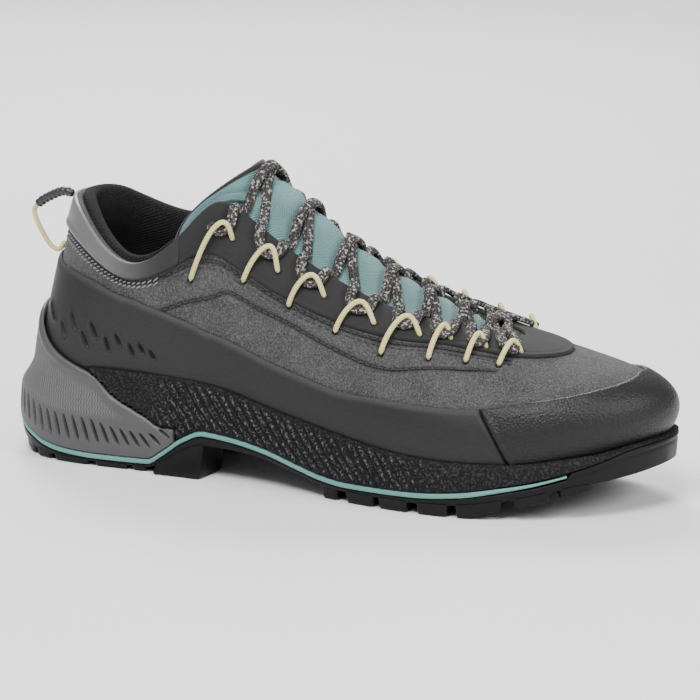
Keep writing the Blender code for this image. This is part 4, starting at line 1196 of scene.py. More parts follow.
def build_rand():
    """The smooth band round the upper, its slots cut in and its top drawn out thin."""
    low, high = CAP_JOINT
    dense = way_at(np.arange(girth(-SLOTTED_WAY), girth(SLOTTED_WAY), SLOTTED_STEP))
    beyond = SLOTTED_WAY + HAIRLINE
    u = np.concatenate([ways(-low, -beyond, RAND_STEP), dense, ways(beyond, low, RAND_STEP)])
    t = np.linspace(0.0, 1.0, RAND_ROWS)[:, None]
    reach = (np.abs(u)[None] / low - RAND_LEAN_FROM) / (1 - RAND_LEAN_FROM)
    lean = 1 - (1 - high / low) * t * ease(reach)
    way = u[None] * lean
    line = at_share("rand_line", way)
    v = line * t
    base = skin(way, v, RAND_TOP)
    slots, narrow = np.full(base.shape[:2], FAR), measure("rand_slot_half_width")
    for start_share, start_v, stop_share, stop_v in RAND_SLOTS:
        for side in ("outer", "inner"):
            ends = skin(on_side(np.array([start_share, stop_share]), side),
                        np.array([start_v, stop_v]), RAND_TOP)
            slots = np.minimum(slots, to_slot(base, ends[0], ends[1], narrow))
    cut = ease(0.5 - slots / SLOT_SOFT)
    rim = SLOT_RIM * dip(slots - narrow, SLOT_RIM_WIDE)
    upward = np.linalg.norm(base - base[-1:], axis=-1)
    ends = np.minimum(girth(low) - girth(np.abs(u)), FAR)[None]
    height = ((RAND_TOP - RAND_LIFT) * round_edge(upward + EDGE_START, RAND_TOP_ROUND)
              * round_edge(ends + END_START, RAND_END_ROUND))
    depth = RAND_LIFT + height - cut * np.minimum(height, measure("rand_slot_depth")) + rim
    outer = skin(way, v, depth)
    inner = skin(way[::INNER_EVERY], v[::INNER_EVERY], RAND_INSIDE)
    fade = ease(1 - upward / RAND_FADE)
    # The slot mark carries painted shade that fills the slots black; fade blends the top edge into
    # the suede.
    solid = layer_solid(outer, inner, slot=cut, fade=fade)
    return solid.make("rand_band", finish("rand_plastic"), "rand_plastic", ["rand"])


CAP_STEP = 0.8
CAP_ROWS = 76
CAP_LEAN_WAY = 0.06
CAP_LIFT = 0.3
CAP_INSIDE = 0.05
CAP_TOP_ROUND = 1.6
CAP_END_ROUND = 0.8
BEAD_HIGH = 0.65
BEAD_FROM_JOINT = 1.6
BEAD_HALF_WIDE = 1.7
BEAD_TOP = 0.97
CAP_INNER_EVERY = 15


def build_cap():
    """The pebbled toe cap, with a raised bead beside its joint to the rand."""
    low, high = CAP_JOINT
    u = ways(low, 1 - low, CAP_STEP)
    t = np.linspace(0.0, 1.0, CAP_ROWS)[:, None]
    near = np.minimum(u - low, 1 - low - u)[None]
    shift = (low - high) * t * ease(1 - near / CAP_LEAN_WAY)
    way = np.where(u[None] < 0.5, u[None] - shift, u[None] + shift)
    v = at_share("rand_line", way) * t
    base = skin(way, v, CAP_TOP)
    from_joint = (girth(np.where(u < 0.5, u, 1 - u)) - girth(low))[None]
    upward = np.linalg.norm(base - base[-1:], axis=-1)
    bead = BEAD_HIGH * dip(from_joint - BEAD_FROM_JOINT, BEAD_HALF_WIDE) * (t < BEAD_TOP)
    height = ((CAP_TOP - CAP_LIFT) * round_edge(upward + EDGE_START, CAP_TOP_ROUND)
              * round_edge(from_joint + END_START, CAP_END_ROUND))
    depth = CAP_LIFT + height + bead - folds_on(base, CAP_FOLDS)
    outer = skin(way, v, depth)
    inner = skin(way[::CAP_INNER_EVERY], v[::CAP_INNER_EVERY], CAP_INSIDE)
    return layer_solid(outer, inner).make("toe_cap_skin", finish("cap_rubber"),
                                          "cap_rubber", ["toe_cap"])


STRIP_FOOT = 0.4 * GAP
STRIP_INSIDE = 0.3 * GAP
STRIP_EDGE_ROUND = 0.9
STRIP_EDGE_START = 0.02


def edge_strip(u, rows, top):
    """A strip between the facing's line and the topline, its two long edges rounded."""
    t = np.linspace(0.0, 1.0, rows)[:, None]
    line = at_share("facing_line", u)[None]
    v = line + (1 - line) * t
    way = np.broadcast_to(u[None], v.shape)
    base = skin(way, v, top)
    up = np.linalg.norm(base - base[:1], axis=-1)
    down = np.linalg.norm(base - base[-1:], axis=-1)
    edges = (round_edge(up + STRIP_EDGE_START, STRIP_EDGE_ROUND)
             * round_edge(down + STRIP_EDGE_START, STRIP_EDGE_ROUND))
    depth = STRIP_FOOT + (top - STRIP_FOOT) * edges
    return way, v, depth, base, up


FACING_STEP = 0.7
FACING_ROWS = 34
FACING_LIFT = 0.1
FACING_PIT_WIDE = 1.1
FACING_PIT_DEEP = 0.8
FACING_SEAM = (2.4, 0.9, 0.15)


def build_facing():
    """The strip along the throat, with the loops' holes and a shallow pressed line."""
    start = PANEL_JOINT_SHARE / 2 + HAIRLINE
    u = ways(start, 1 - start, FACING_STEP)
    way, v, depth, base, up = edge_strip(u, FACING_ROWS, FACING_TOP + FACING_LIFT)
    holes = pits(base, FACING_PIT_WIDE)
    line_at, line_wide, line_deep = FACING_SEAM
    seam = line_deep * dip(up - line_at, line_wide)
    outer = skin(way, v, depth - holes * FACING_PIT_DEEP - seam)
    inner = skin(way[::INNER_EVERY], v[::INNER_EVERY], STRIP_INSIDE)
    # The hole mark carries painted shade that fills the pits at the loops black.
    solid = layer_solid(outer, inner, hole=holes)
    return solid.make("facing_strip", finish("facing_fabric"), "facing_fabric", ["facing"])


PANEL_STEP = 0.8
PANEL_ROWS = 40
PANEL_FADE = (0.085, 0.075)
PANEL_RIDGE = (1.6, 1.8, 0.35)
PANEL_INNER_EVERY = 13


def build_panel():
    """The satin strip round the collar, raised along its foot and thinned to the facing."""
    end = PANEL_JOINT_SHARE / 2
    u = ways(-end, end, PANEL_STEP)
    way, v, depth, _, up = edge_strip(u, PANEL_ROWS, PANEL_TOP)
    fade_from, fade_over = PANEL_FADE
    front = ease((np.abs(u) - fade_from) / fade_over)[None]
    ridge_at, ridge_wide, ridge_high = PANEL_RIDGE
    depth = depth - (PANEL_TOP - FACING_TOP - FACING_LIFT) * front
    depth = depth + ridge_high * dip(up - ridge_at, ridge_wide)
    outer = skin(way, v, depth)
    inner = skin(way[::PANEL_INNER_EVERY], v[::PANEL_INNER_EVERY], STRIP_INSIDE)
    fade = np.broadcast_to(front, v.shape)
    solid = layer_solid(outer, inner, fade=fade)
    return solid.make("collar_strip", finish("panel_plastic"), "panel_plastic",
                      ["collar_panel"])


LINING_MORE = 0.012
LINING_STEP = 1.4
LINING_ROWS = 64
LINING_ROLL_OUT = 0.8
LINING_ROLL = slice(4, 6)
LINING_END_ROUND = 4.0
LINING_END_START = 0.3
LINING_END_SIZE = 0.45
NEARLY_TOP = 0.97


def build_lining():
    """The knit over its padding, rolled over the topline."""
    end = LINING_END_SHARE / 2 + LINING_MORE
    u = ways(-end, end, LINING_STEP)
    table = columns(LINING, LINING_COLUMNS)
    rise = upper_face(u, 1.0) - upper_face(u, NEARLY_TOP)
    rise /= np.linalg.norm(rise, axis=-1, keepdims=True)
    rows = np.stack([skin(u, v, depth) + lift * rise
                     for v, lift, depth in zip(table["v"], table["lift"], table["depth"])])
    rows[LINING_ROLL] += LINING_ROLL_OUT * (skin(u, 1.0, 0.0) - skin(u, 1.0, -1.0))
    chords = np.append(0.0, np.cumsum(np.linalg.norm(np.diff(rows, axis=0), axis=2).mean(1)))
    at = np.linspace(0.0, chords[-1], LINING_ROWS)
    grid = np.empty((LINING_ROWS, len(u), 3))
    for place in range(len(u)):
        for k in range(3):
            grid[:, place, k] = monotone(chords, rows[:, place, k], at)
    from_end = girth(end) - girth(np.abs(u)) + LINING_END_START
    ends = LINING_END_SIZE + (1 - LINING_END_SIZE) * round_edge(from_end, LINING_END_ROUND)
    middle = grid.mean(axis=0)
    grid = middle[None] + (grid - middle[None]) * ends[None, :, None]
    solid = Solid()
    faces = grid_faces(LINING_ROWS, len(u), True, False).tolist()
    faces += [[row * len(u) + side for row in range(LINING_ROWS)] for side in (0, len(u) - 1)]
    pattern = np.stack(np.broadcast_arrays(girth(u)[None], at[:, None]), -1)
    solid.add(grid, faces, pattern)
    piece = solid.make("collar_padding", finish("lining_knit"), "lining_knit",
                       ["collar_lining"])
    return piece


INSOLE_STEP = 3.0
INSOLE_EDGE = (0.8, 0.5)
INSOLE_DISH_PARTS = (0.25, 0.5, 0.75, 1.0)


def build_insole():
    """The dished insole."""
    u = ways(0.0, 1.0, INSOLE_STEP)[:-1]
    foot = along("foot", rib_value("edge_x", u))
    top = foot + INSOLE_THICK
    low = skin(u, 0.0, -INSOLE_FIT)
    low[:, 2] = foot
    high = skin(u, height_on_upper(u, top, -INSOLE_FIT), -INSOLE_FIT)
    high[:, 2] = top
    edge_down, edge_in = INSOLE_EDGE
    rings = [low, high - (0, 0, edge_down), high - edge_in * outward(u)]
    for part in INSOLE_DISH_PARTS:
        rings.append(high - INSOLE_DISH_WIDTH * part * outward(u)
                     - (0, 0, INSOLE_DISH * ease(part)))
    grid = np.stack(rings)
    solid = Solid()
    count = len(u)
    faces = grid_faces(len(rings), count, False, True).tolist()
    faces += cross_strips(0, count) + cross_strips((len(rings) - 1) * count, count)
    solid.add(grid, faces, grid[..., :2])
    return solid.make("insole_sheet", finish("insole_foam"), "insole_foam", ["insole"])


TONGUE_PLACES = 96
TONGUE_ROWS = 190
TONGUE_RIDGE = TONGUE_PLACES // 2


def tongue_rows():
    """The tongue's outer face as a fine grid from its top to its foot."""
    table = columns(TONGUE, TONGUE_COLUMNS)
    rows = []
    for share, ridge_x, ridge_z, depth in zip(*(table[name] for name in TONGUE_COLUMNS)):
        wings = [skin(share / 2, v, depth) for v in TONGUE_WINGS]
        far_wings = [skin(1 - share / 2, v, depth) for v in reversed(TONGUE_WINGS)]
        line = np.stack(wings + [np.array([ridge_x, TONGUE_MIDDLE_Y, ridge_z])] + far_wings)
        chords = lengths_along(line)
        at = np.linspace(0.0, chords[-1], TONGUE_PLACES)
        rows.append(np.stack([cubic(chords, line[:, k], at) for k in range(3)], -1))
    rows = np.stack(rows)
    knots = lengths_along(rows[:, TONGUE_RIDGE])
    at = np.linspace(0.0, knots[-1], TONGUE_ROWS)
    flat = rows.reshape(len(rows), -1)
    fine = np.stack([monotone(knots, flat[:, k], at) for k in range(flat.shape[1])], -1)
    return fine.reshape(TONGUE_ROWS, TONGUE_PLACES, 3)


def upward_normals(grid):
    """Directions out of the tongue's face."""
    square = normals(grid)
    return square * np.where(square[:, TONGUE_RIDGE, None, 2:3] < 0, -1.0, 1.0)


THROAT_SHARES = np.linspace(0.33, 0.95, 260)
THROAT_HEIGHTS = np.linspace(0.78, 1.0, 26)
UNDER_LACE = 1.3
UNDER_MORE = 0.3


class Throat:
    """What the laces lie on: the tongue and the strip beside it."""

    def __init__(self):
        """Gather points of the tongue and of both sides' strips, with the ways out there."""
        grid = tongue_rows()
        square = upward_normals(grid)
        points, ways_out = [grid.reshape(-1, 3)], [square.reshape(-1, 3)]
        for side in ("outer", "inner"):
            v = THROAT_HEIGHTS[:, None]
            u = on_side(THROAT_SHARES[None], side)
            face = skin(u, v, FACING_TOP)
            out = face - skin(u, v, FACING_TOP - 1.0)
            points.append(face.reshape(-1, 3))
            ways_out.append(out.reshape(-1, 3))
        self.points = np.concatenate(points)
        self.ways_out = np.concatenate(ways_out)

    def over(self, place, clear):
        """Point clear of what lies under a place in plan, and the way out there."""
        gap = np.hypot(*(self.points[:, :2] - place[:2]).T)
        close = np.nonzero(gap < max(UNDER_LACE, gap.min() + UNDER_MORE))[0]
        top = close[np.argmax(self.points[close, 2])]
        out = self.ways_out[close].mean(axis=0)
        out /= np.linalg.norm(out)
        return self.points[top] + clear * out, out


# The lace in a loop: how far over the upper, half the share it takes, and its v below the
# loop's top; then where it comes over the topline
PASS_DEPTH = 2.75
PASS_REACH = 0.013
PASS_RISE = 0.015
PASS_SINK = 0.035
EDGE_DEPTH = 3.1
EDGE_REACH = 1.15 * PASS_REACH
EDGE_V = 0.985

# The lace over the tongue: how far clear of it, and how high where it goes over the other
CROSSING_PARTS = (0.14, 0.32, 0.5, 0.68, 0.86)
LACE_CLEAR = 0.35
LACE_ARCH = 2.35
LACE_STEP = 0.7
LACE_SMOOTHINGS = 3
LACE_SIDES = 20
LACE_SQUARENESS = 2.6
OUT_WEIGHT = 10


def pass_points(number, side, forwards):
    """Where the lace goes through a loop, and the way out there."""
    loop = loop_rows()[number]
    peak_share, peak_v = loop["peak_share"], loop["peak_v"]
    places = ((peak_share - EDGE_REACH, EDGE_V, EDGE_DEPTH),
              (peak_share - PASS_REACH, peak_v + PASS_RISE, PASS_DEPTH),
              (peak_share, peak_v - PASS_SINK, PASS_DEPTH),
              (peak_share + PASS_REACH, peak_v + PASS_RISE, PASS_DEPTH),
              (peak_share + EDGE_REACH, EDGE_V, EDGE_DEPTH))
    points = []
    for share, v, depth in places if forwards else places[::-1]:
        u = on_side(share, side)
        face = skin(u, v, depth)
        points.append((face, face - skin(u, v, depth - 1.0)))
    return points


def lace_route(throat, half_high, stops, first_over, bar):
    """A lace's middle line from loop to loop, and the ways out along it."""
    points, outs = [], []
    count = len(stops)
    for index, (number, side) in enumerate(stops):
        here = pass_points(number, side, not (bar and index == count - 1))
        if index == 0:
            here = here[1:]
        for point, out in here:
            points.append(point)
            outs.append(out)
        if index + 1 == count:
            break
        ahead = pass_points(*stops[index + 1], not (bar and index + 2 == count))[0][0]
        over_it = (index % 2 == 0) == first_over
        start = points[-1]
        for t in CROSSING_PARTS:
            place = start + t * (ahead - start)
            lift = half_high + LACE_CLEAR
            lift += LACE_ARCH * math.sin(math.pi * t) ** 3 if over_it else 0.0
            point, out = throat.over(place, lift)
            points.append(point)
            outs.append(out)
    stops_all = np.concatenate([np.array(points), OUT_WEIGHT * np.array(outs)], axis=1)
    chords = lengths_along(stops_all[:, :3])
    at = np.linspace(0.0, chords[-1], int(chords[-1] / LACE_STEP))
    route = np.stack([monotone(chords, stops_all[:, k], at) for k in range(6)], -1)
    for _ in range(LACE_SMOOTHINGS):
        route[1:-1] = 0.25 * route[:-2] + 0.5 * route[1:-1] + 0.25 * route[2:]
    return route[:, :3], route[:, 3:]


def lace_routes():
    """Both ends of the lace."""
    throat, half_high = Throat(), measure("lace_half_height")
    count = len(LOOPS)
    first = [(k, ("outer", "inner")[k % 2]) for k in range(count)]
    second = [(k, ("inner", "outer")[k % 2]) for k in range(count)]
    return [lace_route(throat, half_high, first + second[-1:], True, True),
            lace_route(throat, half_high, second, False, False)]


def build_laces():
    """The lace, both ends of it, through its loops and over the tongue."""
    solid = Solid()
    half_wide, half_high = measure("lace_half_width"), measure("lace_half_height")
    for path, outs in lace_routes():
        sweep(solid, path, outs, half_wide, half_high, LACE_SIDES, power=LACE_SQUARENESS)
    return solid.make("lace_braid", finish("lace_cord"), "lace_cord", ["laces"],
                      turn=math.pi * (half_wide + half_high))


# The tongue's swelling from so far off the lace on, its crease, bound edge and edge roll
SWELL_FROM = 2.0
SWELL_OVER = 4.5
SWELL_EDGE = 12.0
CREASE_DEEP = 0.9
CREASE_WIDE = 2.2
CREASE_PLACES = (16, slice(12, 60, 6))
BINDING_WIDE = 2.6
BINDING_SOFT = 0.5
EDGE_ROLL = 0.45
EDGE_ROLL_WIDE = 1.3


def build_tongue():
    """The padded tongue, swollen between the laces and pressed in under them."""
    grid = tongue_rows()
    square = upward_normals(grid)
    nearest = np.full(grid.shape[:2], np.inf)
    for path, _ in lace_routes():
        nearest = np.minimum(nearest, to_line(grid, path[::5]))
    depth_down = lengths_along(grid[:, TONGUE_RIDGE])[:, None]
    over = lengths_along(grid[10])
    across = np.minimum(over, over[-1] - over)[None]
    from_edge = np.minimum(depth_down, across)
    bulge = (measure("tongue_swell") * ease((nearest - SWELL_FROM) / SWELL_OVER)
             * ease(across / SWELL_EDGE))
    crease = CREASE_DEEP * dip(to_line(grid, grid[CREASE_PLACES]), CREASE_WIDE)
    binding = ease((BINDING_WIDE - from_edge) / BINDING_SOFT)
    edge_roll = EDGE_ROLL * dip(from_edge - EDGE_ROLL_WIDE, EDGE_ROLL_WIDE)
    moved = grid + (bulge - crease + edge_roll)[..., None] * square
    back = grid - TONGUE_THICK * square
    pattern = np.stack(np.broadcast_arrays(depth_down, over[None]), -1)
    solid = Solid()
    rows, places = grid.shape[:2]
    both = np.concatenate([moved, back[::-1]])
    faces = grid_faces(2 * rows, places, True, False).tolist()
    for row in range(rows - 1):
        far = 2 * rows - 1 - row
        for end in (0, places - 1):
            faces.append([row * places + end, (row + 1) * places + end,
                          (far - 1) * places + end, far * places + end])
    flat = np.concatenate([pattern, pattern[::-1]])
    solid.add(both, faces, flat, binding=np.concatenate([binding, binding[::-1]]).ravel())
    piece = solid.make("tongue_pad", finish("tongue_fabric"), "tongue_fabric", ["tongue"])
    return piece


LOOP_POINTS = 44
LOOP_SIDES = 14
LOOP_FOOT_DEPTH = -0.4
LOOP_HIGH = 5.65
LOOP_ROUND = 0.72


def build_loops():
    """The cord loops that carry the lace, eight a side."""
    t = np.linspace(0.0, 1.0, LOOP_POINTS)
    radius = measure("cord_radius")
    for side in ("outer", "inner"):
        for number, loop in enumerate(loop_rows()):
            stops = ("leg_", "peak_", "foot_")
            share = cubic((0, 0.5, 1), [loop[stop + "share"] for stop in stops], t)
            v = cubic((0, 0.5, 1), [loop[stop + "v"] for stop in stops], t)
            depth = LOOP_FOOT_DEPTH + LOOP_HIGH * np.sin(np.pi * t) ** LOOP_ROUND
            path = skin(on_side(share, side), v, depth)
            out = path - skin(on_side(share, side), v, depth - 1)
            solid = Solid()
            sweep(solid, path, out + 0.01, radius, radius, LOOP_SIDES)
            solid.make(f"cord_loop_{side}_{number + 1}", finish("loop_cord"), "loop_cord",
                       [f"lace_loop_{side}_{number + 1}"], turn=2 * math.pi * radius)


# Where the pull cord ends inside its sleeve, as x and z
CORD_IN_SLEEVE = ((6.4, 95.5), (4.4, 93.9))
PULL_STEP = 0.25
PULL_SIDES = 20
WRAP_HIGH = 0.11
WRAP_PITCH = 2.1


def wrapped(length):
    """Swelling of the sleeve under its wrapping, along its length."""
    return 1 + WRAP_HIGH * np.sin(length * 2 * math.pi / WRAP_PITCH) ** 3


def build_pull_loop():
    """The pull loop at the heel: a cord that ends in a wrapped sleeve."""
    for name, route, radius, key, node, swell in (
            ("heel_pull_cord", CORD_IN_SLEEVE + PULL_CORD, measure("cord_radius"),
             "loop_cord", "pull_cord", None),
            ("heel_pull_sleeve", PULL_SLEEVE, measure("sleeve_radius"), "pull_sleeve",
             "pull_sleeve", wrapped)):
        flat = smooth_line(route, PULL_STEP)
        path = np.stack([flat[:, 0], np.full(len(flat), PULL_Y), flat[:, 1]], -1)
        solid = Solid()
        sweep(solid, path, carried(path, (0, 1, 0)), radius, radius, PULL_SIDES, swell)
        solid.make(name, finish(key), key, [node], turn=2 * math.pi * radius)


# Edges sharper than these angles in degrees stay edges
SHARP_CUP = 60
SHARP_TREAD = 50


def stack_solid(rings, pattern=None, **marks):
    """Solid of rings one above another, closed across at the first and the last."""
    grid = np.stack(rings)
    rows, places = grid.shape[:2]
    solid = Solid()
    faces = grid_faces(rows, places, False, True).tolist()
    faces += cross_strips(0, places) + cross_strips((rows - 1) * places, places)
    solid.add(grid, faces, pattern, **marks)
    return solid


# The midsole's ribs: where they come and go, their slant, sharpness and sink, then the
# rounding of the cup's two edges as start, radius and how far it draws in
MIDSOLE_STEP = 0.85
MIDSOLE_ROWS = 34
RIBS_COME_X = (66.0, 84.0)
RIBS_GO_X = (165.0, 215.0)
RIB_SLANT = 0.85
RIB_WAVE = (0.5, 0.55, 0.1)
RIB_SHARPNESS = 1.3
RIB_SINK = 0.4
RIB_SOFT = 0.1
CUP_LOW_EDGE = (0.05, 1.0, 0.8)
CUP_HIGH_EDGE = (0.05, 1.6, 1.2)


def drawn_in(distance, edge_size):
    """How far a rounded edge is drawn in at a distance from it."""
    start, radius, most = edge_size
    return (1 - round_edge(distance + start, radius)) * most


def build_midsole():
    """The foam cup that the upper sits in, with slanting ribs on its wall."""
    u = ways(0.0, 1.0, MIDSOLE_STEP)[:-1]
    rib_pitch, rib_high = measure("rib_pitch"), measure("rib_height")
    x = rib_value("edge_x", u)
    base, rim = midsole_base(x), along("rim", x)
    recess = CRADLE_THICK + 3 * GAP
    covered = recess * (1 - ramp(x, COVER_END_X))
    covered_top = recess * (1 - ramp(x, COVER_TOP_X))
    step = np.minimum(along("cradle", x) + GAP, rim - GAP)
    shelf = along("shelf", x)
    at_rim = height_on_upper(u, rim, CUP_FACE)
    rings = [edge_point(u, shelf + 2 * GAP, along("deck", x) + GAP),
             edge_point(u, shelf + GAP, base)]
    round_way = girth(u)
    patterns = [np.stack([round_way, base], -1)] * 2
    ribs_rows, crest_rows = [np.zeros(len(u))] * 2, [np.zeros(len(u))] * 2
    zone = ramp(x, RIBS_COME_X) * (1 - ramp(x, RIBS_GO_X))
    lean = np.where(u < 0.5, 1.0, -1.0)
    bend, bend_up, bend_along = RIB_WAVE
    for part in np.linspace(0.0, 1.0, MIDSOLE_ROWS):
        z = base + part * (rim - base)
        inset = np.where(z < step, covered, covered_top)
        wall = sole_wall(u, z, inset)
        phase = (round_way * lean + RIB_SLANT * z) * 2 * math.pi / rib_pitch
        phase = phase + bend * np.sin(z * bend_up + round_way * bend_along)
        crest = (0.5 + 0.5 * np.sin(phase)) ** RIB_SHARPNESS
        soft = ease(min(part, 1 - part) / RIB_SOFT)
        ribs = zone * soft
        wall = wall + (rib_high * crest * ribs - RIB_SINK * ribs)[:, None] * outward(u)
        inwards = drawn_in(z - base, CUP_LOW_EDGE) + drawn_in(rim - z, CUP_HIGH_EDGE)
        wall = wall - inwards[:, None] * outward(u)
        rings.append(wall)
        patterns.append(np.stack([round_way, z], -1))
        ribs_rows.append(ribs)
        crest_rows.append(crest * soft)
    rim_inner = skin(u, at_rim, CUP_FACE)
    rim_inner[:, 2] = rim
    below = (0, 0, GAP)
    rings += [rim_inner, skin(u, at_rim / 2, CUP_FACE), skin(u, 0.0, CUP_FACE) - below,
              upper_face(u, 0.0) - below]
    patterns += [np.stack([round_way, rim], -1)] * 4
    ribs_rows += [np.zeros(len(u))] * 4
    crest_rows += [np.zeros(len(u))] * 4
    # The crest mark carries the painted highlight on the rib crests as well as their relief.
    solid = stack_solid(rings, np.stack(patterns), ribs=np.stack(ribs_rows).ravel(),
                        crest=np.stack(crest_rows).ravel())
    return solid.make("midsole_cup", finish("midsole_foam"), "midsole_foam", ["midsole"],
                      sharp=SHARP_CUP)


# The cradle's slots: the first one's place, each one's least and most reach up, and what
# its reach, foot and lean are at the heel and how much more at the cradle's end
CRADLE_STEP = 0.42
CRADLE_ROWS = 84
FIRST_SLOT = 0.35
SLOT_REACH = (2.0, 9.5)
SLOT_REACH_PART = (0.27, 0.06)
SLOT_FOOT = (3.4, 1.2)
SLOT_LEAN = (0.6, 4.2)
CRADLE_SLOT_DEEP = 1.3
CRADLE_TOP_EDGE = (0.03, 1.7, 1.5)
CRADLE_FOOT_EDGE = (0.03, 0.8, 0.7)
CRADLE_END_EDGE = (0.02, 1.2, 1.2)
CRADLE_LIP = (2.6, 2.2, 0.3)
GRAIN_FROM_FOOT = 13.5
GRAIN_FROM_TOP = 4.0
GRAIN_SOFT = 3.0
CRADLE_INNER_EVERY = 12


def between(pair, part):
    """A value at the heel and what is added to it up to the cradle's end."""
    return pair[0] + pair[1] * part


def build_cradle():
    """The moulded shell round the heel, with its slanting slots and a lip at the top."""
    end = place_of(CRADLE_END_X, "outer")
    start = place_of(CRADLE_END_X, "inner") - 1
    u = ways(start, end, CRADLE_STEP)
    pitch, narrow = measure("cradle_slot_pitch"), measure("cradle_slot_half_width")
    x = rib_value("edge_x", u)
    low, high = midsole_base(x), along("cradle", x)
    t = np.linspace(0.0, 1.0, CRADLE_ROWS)
    heights = low + t[:, None] * (high - low)
    base = np.stack([sole_wall(u, z, 0.0) for z in heights])
    out = base - np.stack([sole_wall(u, z, 1.0) for z in heights])
    along_way = girth(u)
    slots = np.full(base.shape[:2], FAR)
    for sign in (-1, 1):
        for number in range(int(girth(end) / pitch)):
            middle = (number + FIRST_SLOT) * pitch
            forward = middle / girth(end)
            place = way_at(sign * middle)
            floor = midsole_base(rib_value("edge_x", place))
            roof = along("cradle", rib_value("edge_x", place))
            reach = np.clip((roof - floor) * between(SLOT_REACH_PART, forward), *SLOT_REACH)
            foot = floor + between(SLOT_FOOT, forward)
            lean = between(SLOT_LEAN, forward)
            tips = [sole_wall(np.array([way_at(sign * (middle + shift))]),
                              np.array([z]), 0.0)[0]
                    for shift, z in ((lean / 2, foot), (-lean / 2, foot + reach))]
            slots = np.minimum(slots, to_slot(base, tips[0], tips[1], narrow))
    cut = ease(0.5 - slots / SLOT_SOFT)
    up, down = heights - low, high - heights
    inset = drawn_in(down, CRADLE_TOP_EDGE) + drawn_in(up, CRADLE_FOOT_EDGE)
    inset = inset + drawn_in(girth(end) - np.abs(along_way), CRADLE_END_EDGE)[None]
    lip_at, lip_wide, lip_high = CRADLE_LIP
    lip = lip_high * dip(down - lip_at, lip_wide)
    outer = base + (lip - inset - cut * CRADLE_SLOT_DEEP)[..., None] * out
    grained = (ease((up - GRAIN_FROM_FOOT) / GRAIN_SOFT)
               * ease((down - GRAIN_FROM_TOP) / GRAIN_SOFT))
    inner = np.stack([sole_wall(u, z, CRADLE_THICK) for z in heights[::CRADLE_INNER_EVERY]])
    pattern = np.stack(np.broadcast_arrays(along_way[None], heights), -1)
    # The slot mark carries painted shade in the slots; the grain mark carries the painted
    # highlight on the zigzag.
    solid = layer_solid(outer, inner, pattern=pattern, slot=cut, grain=grained)
    return solid.make("heel_cradle_shell", finish("cradle_plastic"), "cradle_plastic",
                      ["heel_cradle"])


STRIPE_STEP = 1.2
STRIPE_THIN_X = (205.0, 243.0)
STRIPE_THINNING = 0.55
STRIPE_TURNS = np.linspace(-90, 90, 11)
STRIPE_ROUND = 0.5


def build_stripe():
    """The thin foam stripe between the midsole and the tread, rounded outwards."""
    end = place_of(STRIPE_END_X, "outer")
    start = place_of(STRIPE_END_X, "inner") - 1
    u = ways(start, end, STRIPE_STEP)
    x = rib_value("edge_x", u)
    middle = along("stripe", x)
    half = STRIPE_HALF * (1 - STRIPE_THINNING * ramp(x, STRIPE_THIN_X))
    rings = []
    for turn in STRIPE_TURNS:
        out, high = math.cos(math.radians(turn)), math.sin(math.radians(turn))
        rings.append(edge_point(u, STRIPE_INSET + STRIPE_ROUND * (1 - out),
                                middle + half * high))
    inner = np.stack([edge_point(u, STRIPE_INSET + STRIPE_DEPTH, middle + half * s)
                      for s in (-1, 1)])
    return layer_solid(np.stack(rings), inner).make("stripe_edge", finish("stripe_foam"),
                                                    "stripe_foam", ["side_stripe"])


def rounded_outline(low_a, high_a, low_b, high_b, radius, count):
    """Outline of a box with rounded corners, as two coordinates."""
    points = []
    corners = ((high_a, high_b), (low_a, high_b), (low_a, low_b), (high_a, low_b))
    for k, (a, b) in enumerate(corners):
        centre = (a - math.copysign(radius, a - (low_a + high_a) / 2),
                  b - math.copysign(radius, b - (low_b + high_b) / 2))
        for turn in np.linspace(0, math.pi / 2, count):
            turn += k * math.pi / 2
            points.append((centre[0] + radius * math.cos(turn),
                           centre[1] + radius * math.sin(turn)))
    points = np.array(points)
    ahead = np.roll(points, -1, axis=0)
    outline = []
    for index, point in enumerate(points):
        parts = (0.0, 0.25, 0.5, 0.75) if index % count == count - 1 else (0.0,)
        outline += [point + (ahead[index] - point) * part for part in parts]
    return np.array(outline)


def add_lug(solid, rings):
    """Add one lug from its rings, top to bottom, closed below."""
    grid = np.stack(rings)
    rows, places = grid.shape[:2]
    faces = grid_faces(rows, places, False, True).tolist()
    faces += [list(range(places)), list(range((rows - 1) * places, rows * places))]
    solid.add(grid, faces)


# The tread's wall, its groove and ridge at the toe, and the lugs' rings from root to tread as
# part of the way down, how far each is drawn in and, at the edge lugs, part of their flare
TREAD_STEP = 1.3
TREAD_ROWS = 16
TREAD_FOOT_INSETS = (3.0, 1.6, 1.2)
TREAD_LIFT = 0.15
TREAD_TOP_EDGE = (0.02, 0.9, 0.8)
BUMPER_X = (236.0, 250.0)
BUMPER_GROOVE = (2.2, 1.0, 0.35)
BUMPER_RIDGE = (1.0, 0.8, 0.2)
EDGE_LUG_RINGS = ((0.0, -0.2, 0.0), (0.35, 0.05, 0.3), (0.7, 0.25, 0.75), (0.88, 0.35, 1.0),
                  (0.96, 0.6, 1.0), (1.0, 1.15, 0.85))
ROUND_LUG_RINGS = ((0.0, -0.2), (0.5, 0.1), (0.85, 0.35), (0.95, 0.6), (1.0, 1.1))
LUG_CORNER = 1.1
LUG_CORNER_POINTS = 4
ROUND_LUG_POINTS = 48
ROUND_LUG_LOBES = 6
ROUND_LUG_WAVE = 0.045
HALF_ROUND = 200


def lug_height(x, down):
    """Height of a lug at x, so far down from its root to the tread."""
    high = along("plate", x) + LUG_ROOT
    return high + down * (np.maximum(along("tread", x), 0.0) - high)


